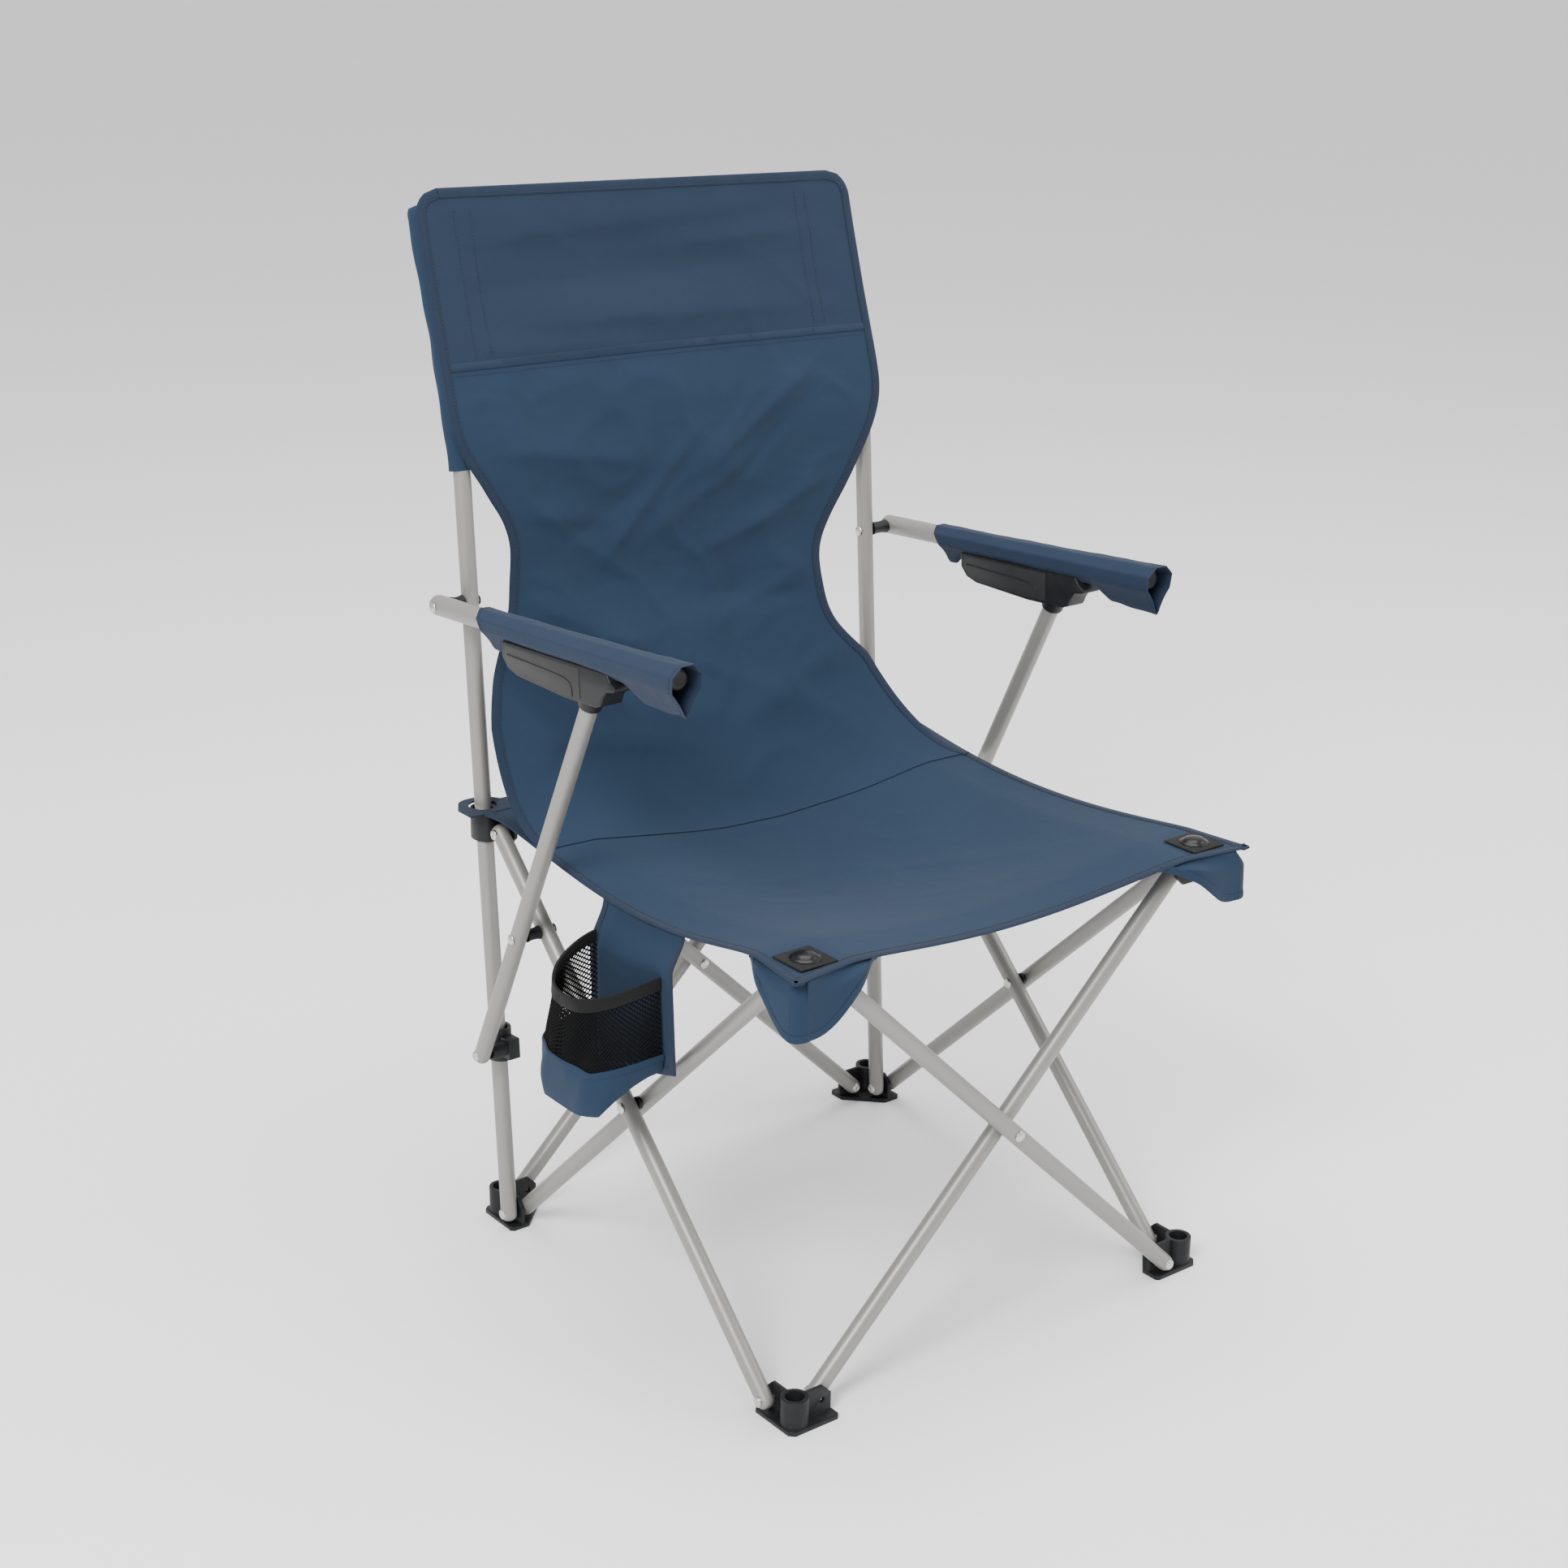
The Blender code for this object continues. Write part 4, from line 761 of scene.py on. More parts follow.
# ------------------------------------------------------------------ frame
@dataclass
class LegSet:
    """Eight crossing legs with their end rivets, and the four crossing rivets."""

    radius: float = 0.008
    end: float = 0.0085
    wall: float = 0.001

    def ends(self) -> dict[str, tuple[np.ndarray, np.ndarray]]:
        """Foot pivot and hub pivot of each leg."""
        d = DATUM
        known = {
            "leg_left_outer": (joint("foot_fl_pivot"), d.left),
            "leg_left_inner": (joint("fold"), d.left),
            "leg_front_inner": (joint("front_leg_pivot"), d.front),
            "leg_front_outer": (joint("foot_fr_pivot"), d.front),
            "leg_rear_outer": (joint("rear_leg_pivot"), d.rear),
            "leg_rear_inner": (joint("foot_rr_pivot"), d.rear),
            "leg_right_outer": (joint("right_leg_pivot"), d.right),
            "leg_right_inner": (self.mirror(joint("hub_rr_pivot"), d.right), d.right),
        }
        return {name: (foot, self.mirror(foot, mid)) for name, (foot, mid) in known.items()}

    @staticmethod
    def mirror(point: np.ndarray, mid: np.ndarray) -> np.ndarray:
        """The other end of a leg, with its crossing half way."""
        other = 2 * mid - point
        flat = 0 if abs(point[1] - mid[1]) > abs(point[0] - mid[0]) else 1
        other[flat] = point[flat]
        return other

    def build(self) -> None:
        """Build the legs and rivets."""
        for name, (foot, hub) in self.ends().items():
            length = float(np.linalg.norm(hub - foot))
            profile = tube_profile(self.radius, length, self.end, self.wall)
            shell_piece(name + "_tube", turned(profile, foot, hub - foot), Finish.TUBE, name,
                        [name])
            flat = 0 if "left" in name or "right" in name else 1
            axis = np.zeros(3)
            axis[flat] = 1.0
            towards = DATUM.centre[flat] + np.sign(foot[flat] - DATUM.centre[flat]) * DATUM.half
            out = np.sign(foot[flat] - towards)
            parts = []
            for point in (foot, hub):
                face = point + axis * out * self.radius
                parts.append(turned(self.end_head(), face, axis * out, 20))
            self.join(name + "_rivets", parts, name)
        for key, mid in (("left", DATUM.left), ("right", DATUM.right), ("front", DATUM.front),
                         ("rear", DATUM.rear)):
            self.crossing(key, mid)

    @staticmethod
    def end_head() -> list[Pair]:
        """Rivet head on the outer face of a tube, with a dimple."""
        return [(-0.0022, 0.0001), (-0.0022, 0.0048), (0.0001, 0.0050), (0.0006, 0.0047),
                (0.0012, 0.0036), (0.0014, 0.0024), (0.0011, 0.0014), (0.0007, 0.0001)]

    def crossing(self, key: str, mid: np.ndarray) -> None:
        """Rivet and spacer where two legs cross."""
        node = "cross_rivet_" + key
        low, high = (np.array(corner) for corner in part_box(node))
        flat = 0 if key in ("left", "right") else 1
        axis = np.zeros(3)
        axis[flat] = 1.0
        grip = float(high[flat] - low[flat]) - 0.0032
        body = {"left": "leg_left_inner", "right": "leg_right_outer", "front": "leg_front_inner",
                "rear": "leg_rear_outer"}[key]
        shell_piece(node + "_pin", turned(rivet_profile(grip, 0.0052, 0.0017), mid, axis, 24),
                    Finish.RIVET, body, [node])
        washer = [(-0.0020, 0.0026), (-0.0020, 0.0060), (-0.0017, 0.0064), (0.0017, 0.0064),
                  (0.0020, 0.0060), (0.0020, 0.0026)]
        shell_piece(node + "_washer", turned(washer, mid, axis, 24), Finish.PLASTIC, body)

    @staticmethod
    def join(name: str, parts: Sequence[Shell], body: str,
             finish: Finish = Finish.RIVET) -> bpy.types.Object:
        """Join several shells into one piece."""
        verts: list[Any] = []
        faces: list[Any] = []
        uvs: list[Any] = []
        for points, polys, coords in parts:
            base = len(verts)
            verts += list(points)
            uvs += list(coords)
            faces += [tuple(i + base for i in poly) for poly in polys]
        return mesh_piece(name, verts, faces, finish, body, (), uvs)


@dataclass
class PostLine:
    """Axis of a back post: straight from its foot, then bent back above the arms."""

    side: str
    bend_start: float = 0.715
    bend_arc: float = 0.080
    bend: float = math.radians(12.0)
    length: float = 0.968

    @property
    def foot(self) -> np.ndarray:
        """Foot pivot."""
        return joint(f"post_{self.side}_pivot")

    @property
    def lean(self) -> float:
        """Lean of the lower part."""
        arm = joint(f"arm_{self.side}_pivot")
        return math.atan2(arm[1] - self.foot[1], arm[2] - self.foot[2])

    def point(self, s: float, ahead: float = 0.0) -> np.ndarray:
        """Point at a distance along the post and ahead of it."""
        radius = self.bend_arc / self.bend
        turn = min(max((s - self.bend_start) / radius, 0.0), self.bend)
        beyond = max(s - self.bend_start - self.bend_arc, 0.0)
        y = radius * (1 - math.cos(turn)) + beyond * math.sin(turn) - ahead * math.cos(turn)
        z = (min(s, self.bend_start) + radius * math.sin(turn) + beyond * math.cos(turn)
             + ahead * math.sin(turn))
        c, q = math.cos(self.lean), math.sin(self.lean)
        return self.foot + np.array([0.0, y * c + z * q, -y * q + z * c])

    def front(self, z: float, ahead: float) -> float:
        """Y of the line ahead of the post at a height."""
        low, high = 0.0, self.length + 0.08
        for _ in range(28):
            mid = (low + high) / 2
            if self.point(mid, ahead)[2] < z:
                low = mid
            else:
                high = mid
        return float(self.point(low, ahead)[1])


@dataclass
class Posts:
    """The two back posts."""

    radius: float = 0.008

    def build(self) -> None:
        """Build both posts with their foot rivets."""
        for side in ("left", "right"):
            line = PostLine(side)
            bend = (line.bend_start, line.bend_start + line.bend_arc)
            stops = np.r_[np.linspace(0.008, 0.70, 8), np.linspace(*bend, 9), 0.88, 0.966]
            rows = [(-0.0085, 0.2), (-0.0079, 0.52), (-0.0063, 0.80), (-0.0039, 0.955),
                    (-0.001, 1.0)]
            rows += [(s, 1.0) for s in stops] + [(0.9675, 0.96), (line.length, 0.2)]
            path = np.array([line.point(s) for s, _ in rows])
            shell_piece(f"post_{side}_tube", swept(path, [self.radius * k for _, k in rows], 32),
                        Finish.TUBE, "post_" + side, ["post_" + side])
            axis = np.array([-1.0, 0, 0])
            parts = [turned(LegSet.end_head(), line.foot + axis * self.radius, axis, 20)]
            LegSet.join(f"post_{side}_rivet", parts, "post_" + side)


@dataclass
class Mouldings:
    """Feet, hubs and collars: carried over from the frame with softened edges."""

    softness: float = 0.0006
    weld: float = 0.00002

    def build(self) -> None:
        """Dress the moulded nodes."""
        corners = ("fl", "fr", "rl", "rr")
        names = [f"{kind}_{corner}" for kind in ("foot", "hub") for corner in corners]
        names += ["collar_left", "collar_right"]
        for name in names:
            node = frame["nodes"][name]
            copy = place(name + "_moulding", node.data.copy())
            bm = bmesh.new()
            bm.from_mesh(copy.data)
            bmesh.ops.remove_doubles(bm, verts=bm.verts[:], dist=self.weld)
            bmesh.ops.dissolve_limit(bm, angle_limit=math.radians(1.5), verts=bm.verts[:],
                                     edges=bm.edges[:])
            bm.to_mesh(copy.data)
            bm.free()
            soften(copy, self.softness, 2, 40)
            dress(copy, Finish.PLASTIC, node["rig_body"], [name], 50)


# ------------------------------------------------------------------ arms
@dataclass
class ArmSet:
    """Arm tubes, sleeves, brackets, supports and their fasteners on one side."""

    side: str
    rise: float = math.radians(3.8)
    tube: float = 0.0095
    length: float = 0.366
    sleeve_start: float = 0.074
    sleeve_end: float = 0.383
    sleeve_radius: float = 0.0126
    sleeve_flare: float = 0.0034
    sleeve_cloth: float = 0.0009
    droop: float = 0.0150
    strut: float = 0.008
    strut_above: float = 0.3113

    def frame(self) -> tuple[np.ndarray, np.ndarray, np.ndarray]:
        """Arm pivot, forward direction and upward direction."""
        ahead = np.array([0.0, -math.cos(self.rise), math.sin(self.rise)])
        up = np.array([0.0, math.sin(self.rise), math.cos(self.rise)])
        return joint(f"arm_{self.side}_pivot"), ahead, up

    @property
    def out(self) -> float:
        """Sign of the outboard direction."""
        return -1.0 if self.side == "left" else 1.0

    def build(self) -> None:
        """Build all the pieces of this arm."""
        pivot, ahead, _ = self.frame()
        body = "arm_" + self.side
        profile = tube_profile(self.tube, self.length, 0.012, 0.001, True)
        shell_piece(f"arm_{self.side}_rail", turned(profile, pivot, ahead), Finish.TUBE, body,
                    ["arm_tube_" + self.side])
        cap = [(-0.012, 0.0070), (0.0004, 0.0072), (0.0004, 0.0093), (0.0016, 0.0095),
               (0.0030, 0.0086), (0.0036, 0.0070), (0.0030, 0.0052), (0.0028, 0.0004)]
        shell_piece(f"arm_{self.side}_plug", turned(cap, pivot + ahead * self.length, ahead),
                    Finish.BRACKET, body, ["arm_cap_" + self.side])
        self.sleeve(body)
        self.bracket(body)
        self.support()
        self.fasteners()

    def sleeve_ring(self, d: float, count: int = 48) -> np.ndarray:
        """Outline of the sleeve along the arm: faceted above, with a hanging seam below."""
        pivot, ahead, up = self.frame()
        side = np.array([1.0, 0, 0])
        t = (d - self.sleeve_start) / (self.sleeve_end - self.sleeve_start)
        free = 1 - ease((t - 0.06) / 0.08) * ease((0.80 - t) / 0.08)
        r = self.sleeve_radius + self.sleeve_flare * t * t
        droop = self.droop * free * (0.75 + 0.25 * t) + 0.0005 * math.sin(t * 44) * free
        points = []
        for k in range(count):
            turn = TAU * k / count
            x, z = math.sin(turn), math.cos(turn)
            facet = 0.970 / math.cos((turn + math.pi / 8) % (math.pi / 4) - math.pi / 8)
            pull = max(0.0, -z) ** 3
            slant = (1 - z) / 2 * (0.015 * (1 - ease(t / 0.12)) - 0.005 * ease((t - 0.9) / 0.1))
            px = x * r * facet * (1 - 0.80 * pull * free)
            pz = z * r * facet - pull * droop - 0.0014
            points.append(pivot + ahead * (d + slant) + side * px + up * pz)
        return np.array(points)

    def sleeve(self, body: str) -> None:
        """Cloth sleeve with its keel seam and open front end."""
        stops = np.linspace(self.sleeve_start, self.sleeve_end, 78)
        outer = np.array([self.sleeve_ring(d) for d in stops])
        pivot, ahead, _ = self.frame()
        phase = np.random.default_rng(7 if self.side == "left" else 11).uniform(0, TAU, 2)
        for i, d in enumerate(stops):
            centre = pivot + ahead * d
            for k in range(outer.shape[1]):
                turn = TAU * k / outer.shape[1]
                lift = 0.00022 * math.sin(d * 60 + 3 * turn + phase[0])
                lift += 0.00010 * math.sin(d * 190 - 5 * turn + phase[1])
                v = outer[i, k] - centre
                outer[i, k] = centre + v * (1 + lift / 0.013)
        inner = outer.copy()
        for i, d in enumerate(stops):
            centre = pivot + ahead * d
            v = inner[i] - centre
            size = np.linalg.norm(v, axis=1)[:, None]
            inner[i] = centre + v * (1 - self.sleeve_cloth / size)
        rings = np.concatenate([outer, inner[::-1]])
        count, size, _ = rings.shape
        faces = list(grid_faces(count, size, True))
        last = (count - 1) * size
        faces += [(last + c, last + (c + 1) % size, (c + 1) % size, c) for c in range(size)]
        _, _, uvs = loft(rings)
        sleeve = mesh_piece(f"sleeve_{self.side}_cloth", rings.reshape(-1, 3), faces, Finish.ARM,
                            body, ["sleeve_" + self.side], uvs, 60)
        hems = []
        for d in (self.sleeve_start + 0.004, self.sleeve_end - 0.004):
            ring = self.sleeve_ring(d)
            hems.append(pivot + ahead * d + (ring - pivot - ahead * d) * 1.03)
        Stitching(0.0034, 0.0022, 0.0006).sew(f"sleeve_{self.side}_hems", hems, body)

    def bracket(self, body: str) -> None:
        """Moulded bracket under the sleeve, with two cheeks and a raised contour."""
        pivot, ahead, up = self.frame()
        outline = [(0.118, -0.0100), (0.118, -0.0240), (0.126, -0.0330), (0.140, -0.0375),
                   (0.214, -0.0428), (0.262, -0.0430), (0.270, -0.0405), (0.274, -0.0330),
                   (0.279, -0.0265), (0.291, -0.0250), (0.292, -0.0210), (0.285, -0.0170),
                   (0.281, -0.0100)]
        half, raised = 0.0114, 0.0004
        self.plate(f"bracket_{self.side}_shell", outline, -half, half, body, Finish.PLASTIC, 0.0016,
                   ["bracket_" + self.side])
        cheek = [(0.124, -0.0125), (0.124, -0.0245), (0.131, -0.0315), (0.143, -0.0350),
                 (0.216, -0.0395), (0.240, -0.0395), (0.240, -0.0125)]
        for tag, low, high in (("in", -half - raised, -half + 0.001),
                               ("out", half - 0.001, half + raised)):
            self.plate(f"bracket_{self.side}_cheek_{tag}", cheek, low, high, body, Finish.BRACKET,
                       0.0003)
        ridge = [(0.127, -0.0205), (0.205, -0.0235), (0.222, -0.0255), (0.228, -0.0300),
                 (0.229, -0.0390)]
        rods = []
        for side in (-half - raised, half + raised):
            path = np.array([pivot + ahead * d + up * h + np.array([side, 0, 0])
                             for d, h in self.rounded(ridge)])
            rods.append(swept(path, [0.00075] * len(path), 10))
        LegSet.join(f"bracket_{self.side}_ridge", rods, body, Finish.PLASTIC)

    @staticmethod
    def rounded(points: Sequence[Pair], cuts: int = 3) -> list[Pair]:
        """Cut the corners of an open line."""
        line = [np.array(p) for p in points]
        for _ in range(cuts):
            new = [line[0]]
            for a, b in zip(line, line[1:]):
                new += [a * 0.75 + b * 0.25, a * 0.25 + b * 0.75]
            line = new + [line[-1]]
        return [tuple(p) for p in line]

    def plate(self, name: str, outline: Sequence[Pair], low: float, high: float, body: str,
              finish: Finish, softness: float, nodes: Sequence[str] = ()) -> bpy.types.Object:
        """Solid plate in the arm's plane with softened edges.

        Args:
            name: Piece name.
            outline: (distance along the arm, height over its axis) of each corner.
            low: X of one face from the arm's axis.
            high: X of the other face.
            body: Body that carries it.
            finish: Finish of the plate.
            softness: Radius of its edges.
            nodes: CAD nodes it stands for.

        Returns:
            The plate.
        """
        pivot, ahead, up = self.frame()
        bm = bmesh.new()
        sides = []
        for x in (low, high):
            sides.append([bm.verts.new(tuple(pivot + ahead * d + up * h + np.array([x, 0, 0])))
                          for d, h in outline])
        bm.faces.new(sides[0])
        bm.faces.new(sides[1][::-1])
        count = len(outline)
        for i in range(count):
            j = (i + 1) % count
            bm.faces.new((sides[0][j], sides[0][i], sides[1][i], sides[1][j]))
        bmesh.ops.recalc_face_normals(bm, faces=bm.faces[:])
        obj = place(name, mesh_from(bm, name))
        soften(obj, softness, 3, 20)
        return dress(obj, finish, body, nodes)

    def support(self) -> None:
        """Inclined strut with its socket in the bracket and its lower rivet."""
        body = "support_" + self.side
        mid = joint(f"support_{self.side}_pivot")
        lower = joint(f"collar_{self.side}_pivot")
        lower = np.array([mid[0], lower[1], lower[2]])
        ahead = mid - lower
        down = float(np.linalg.norm(ahead))
        top = down + self.strut_above
        profile = tube_profile(self.strut, top, 0.0085, 0.001)
        shell_piece(f"support_{self.side}_tube", turned(profile, lower, ahead), Finish.TUBE, body,
                    [body])
        axis = np.array([self.out, 0, 0])
        stub = [(-0.0140, 0.0025), (-0.0080, 0.0025)]
        parts = [turned(LegSet.end_head(), lower + axis * self.strut, axis, 20),
                 turned(stub, lower, axis, 12)]
        LegSet.join(f"support_{self.side}_rivets", parts, body)
        socket = [(top - 0.030, 0.0088), (top - 0.0295, 0.0103), (top - 0.028, 0.0108),
                  (top - 0.012, 0.0108), (top - 0.012, 0.0088)]
        shell_piece(f"support_{self.side}_socket", turned(socket, lower, ahead), Finish.PLASTIC,
                    body)

    def fasteners(self) -> None:
        """Bolts and spacers of the arm and of the support."""
        for label, bolt, body, radius in (("arm", "bolt", "post_" + self.side, 0.007),
                                          ("support", "rivet", self.leg(), 0.0065)):
            point = joint(f"{label}_{self.side}_pivot")
            node = f"{label}_{bolt}_{self.side}"
            centre, width = self.middle(node, point)
            pin = rivet_profile(width - 0.0032, 0.0050, 0.0018)
            shell_piece(f"{label}_{self.side}_fastener", turned(pin, centre, (1, 0, 0), 24),
                        Finish.RIVET, body, [node])
            node = f"{label}_spacer_{self.side}"
            centre, width = self.middle(node, point)
            span, waist = width / 2, radius * 0.86
            ring = [(-span, 0.0028), (-span, radius), (-span * 0.4, waist), (span * 0.4, waist),
                    (span, radius), (span, 0.0028)]
            shell_piece(f"{label}_{self.side}_spacer", turned(ring, centre, (1, 0, 0), 28),
                        Finish.PLASTIC, body, [node], 30)

    @staticmethod
    def middle(node: str, point: np.ndarray) -> tuple[np.ndarray, float]:
        """Centre of a node on the pivot line through a point, and its width along X."""
        low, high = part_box(node)
        return np.array([(low.x + high.x) / 2, point[1], point[2]]), high.x - low.x

    def leg(self) -> str:
        """Leg that carries the support."""
        return "leg_left_outer" if self.side == "left" else "leg_right_inner"


# ------------------------------------------------------------------ cloth
def ease(q: float) -> float:
    """Smooth step from 0 to 1."""
    q = min(1.0, max(0.0, q))
    return q * q * (3 - 2 * q)


@dataclass
class Crease:
    """A soft fold along a line on the cloth."""

    start: tuple[float, float]
    end: tuple[float, float]
    width: float
    rise: float

    def lift(self, u: float, v: float) -> float:
        """Rise of the cloth at a point given in metres across and up."""
        ax, ay = self.start
        bx, by = self.end
        dx, dy = bx - ax, by - ay
        size = dx * dx + dy * dy
        t = ((u - ax) * dx + (v - ay) * dy) / size
        if t < -0.3 or t > 1.3:
            return 0.0
        along = ease((t + 0.3) / 0.5) * ease((1.3 - t) / 0.5)
        off = ((u - ax) * dy - (v - ay) * dx) / math.sqrt(size) / self.width
        return self.rise * along * math.exp(-abs(off) ** 1.35) * (1 - 0.5 * math.tanh(off))


def crumple(x: float, y: float, seed: float) -> float:
    """Small sharp-edged rumples of slack cloth, between 0 and about 1."""
    wide = abs(noise.noise(Vector((x * 11, y * 14, seed))))
    fine = abs(noise.noise(Vector((x * 27 + 4 * wide, y * 33, seed + 7))))
    return (1 - min(1.0, 2.6 * wide)) ** 2 * 0.8 + (1 - min(1.0, 3.0 * fine)) ** 2 * 0.25


class ClothSheet:
    """A thin sheet from a surface function, with bound edges and stitch lines."""

    def __init__(self, name: str, surface: Callable[[float, float], np.ndarray], rows: int,
                 cols: int, thick: float = 0.0011) -> None:
        """Sample a surface on a grid.

        Args:
            name: Piece name.
            surface: Maps (across, up), each 0 to 1, to a point.
            rows: Samples up the sheet.
            cols: Samples across it.
            thick: Cloth thickness.
        """
        self.name = name
        self.surface = surface
        self.rows, self.cols, self.thick = rows, cols, thick
        self.grid = np.array([[surface(c / (cols - 1), r / (rows - 1)) for c in range(cols)]
                              for r in range(rows)])
        du = np.gradient(self.grid, axis=1)
        dv = np.gradient(self.grid, axis=0)
        normal = np.cross(du, dv)
        self.normals = normal / np.linalg.norm(normal, axis=2)[:, :, None]

    @property
    def area(self) -> float:
        """Area of the sheet."""
        a = self.grid[1:, :-1] - self.grid[:-1, :-1]
        b = self.grid[:-1, 1:] - self.grid[:-1, :-1]
        return float(np.linalg.norm(np.cross(a, b), axis=2).sum())

    def uvs(self) -> np.ndarray:
        """Thread coordinates: metres across from the middle column and up from the first row."""
        across = np.linalg.norm(np.diff(self.grid, axis=1), axis=2)
        across = np.concatenate([np.zeros((self.rows, 1)), np.cumsum(across, axis=1)], axis=1)
        across -= across[:, [self.cols // 2]]
        up = np.linalg.norm(np.diff(self.grid, axis=0), axis=2)
        up = np.concatenate([np.zeros((1, self.cols)), np.cumsum(up, axis=0)], axis=0)
        return np.stack([across, up], axis=-1).reshape(-1, 2)

    def make(self, finish: Finish, body: str, nodes: Sequence[str], split: Optional[Finish] = None,
             split_row: int = 0) -> bpy.types.Object:
        """Make the sheet as a closed thin solid."""
        half = self.thick / 2
        top = self.grid + self.normals * half
        low = self.grid - self.normals * half
        count = self.rows * self.cols
        faces = grid_faces(self.rows, self.cols)
        front = len(faces)
        faces += [tuple(i + count for i in f[::-1]) for f in grid_faces(self.rows, self.cols)]
        rim = list(range(self.cols)) + [r * self.cols + self.cols - 1 for r in range(1, self.rows)]
        rim += [(self.rows - 1) * self.cols + c for c in range(self.cols - 2, -1, -1)]
        rim += [r * self.cols for r in range(self.rows - 2, 0, -1)]
        faces += [(a, a + count, b + count, b) for a, b in zip(rim, rim[1:] + rim[:1])]
        uv = self.uvs()
        verts = np.concatenate([top.reshape(-1, 3), low.reshape(-1, 3)])
        obj = mesh_piece(self.name, verts, faces, finish, body, nodes, np.concatenate([uv, uv]), 60)
        if split is not None:
            obj.data.materials.append(split.material)
            per_row = self.cols - 1
            for index, poly in enumerate(obj.data.polygons):
                if index < 2 * front and (index % front) // per_row >= split_row:
                    poly.material_index = 1
        return obj

    def edge(self, which: str, inset: float = 0.0) -> tuple[np.ndarray, np.ndarray, np.ndarray]:
        """Points, inward directions and normals along one edge.

        Args:
            which: left, right, top or bottom.
            inset: Distance inward from the edge.

        Returns:
            Points, inward unit vectors and normals.
        """
        pick = {"left": (self.grid[:, 0], self.grid[:, 2], self.normals[:, 1]),
                "right": (self.grid[:, -1], self.grid[:, -3], self.normals[:, -2]),
                "bottom": (self.grid[0], self.grid[2], self.normals[1]),
                "top": (self.grid[-1], self.grid[-3], self.normals[-2])}[which]
        line, second, normal = (item.copy() for item in pick)
        inward = second - line
        inward /= np.linalg.norm(inward, axis=1)[:, None]
        tangent = np.gradient(line, axis=0)
        tangent /= np.linalg.norm(tangent, axis=1)[:, None]
        inward -= tangent * (inward * tangent).sum(1)[:, None]
        inward /= np.linalg.norm(inward, axis=1)[:, None]
        return line + inward * inset, inward, normal


def binding(name: str, line: np.ndarray, inward: np.ndarray, normal: np.ndarray, finish: Finish,
            body: str, width: float = 0.0085, thick: float = 0.0026) -> bpy.types.Object:
    """Folded tape round a cloth edge.

    Args:
        name: Piece name.
        line: Points on the edge.
        inward: Inward unit vectors.
        normal: Cloth normals.
        finish: Tape finish.
        body: Body that carries it.
        width: Width of the tape on the cloth.
        thick: Thickness over the edge.

    Returns:
        The tape.
    """
    half = thick / 2
    section = [(width, half * 0.82), (width * 0.5, half), (0.0006, half), (-0.0007, half * 0.6),
               (-0.0011, 0.0), (-0.0007, -half * 0.6), (0.0006, -half), (width * 0.5, -half),
               (width, -half * 0.82)]
    rings = np.array([[line[i] + inward[i] * a + normal[i] * b for a, b in section]
                      for i in range(len(line))])
    return shell_piece(name, loft(rings), finish, body, (), 50)


SEAM_RISE = 0.0016  # stitches on a taped edge, over the cloth's middle surface
PANEL_SEAM_RISE = 0.0010  # stitches on open cloth
SEAT_CREASES = [Crease((-0.20, 0.135), (0.05, 0.095), 0.009, 0.0016),
                Crease((0.02, 0.120), (0.20, 0.060), 0.010, 0.0014),
                Crease((0.05, -0.05), (0.21, -0.19), 0.012, 0.0016),
                Crease((0.00, -0.12), (0.18, -0.22), 0.010, 0.0014),
                Crease((-0.05, -0.06), (-0.20, -0.19), 0.013, 0.0016),
                Crease((-0.18, 0.04), (-0.06, 0.00), 0.012, 0.0012)]


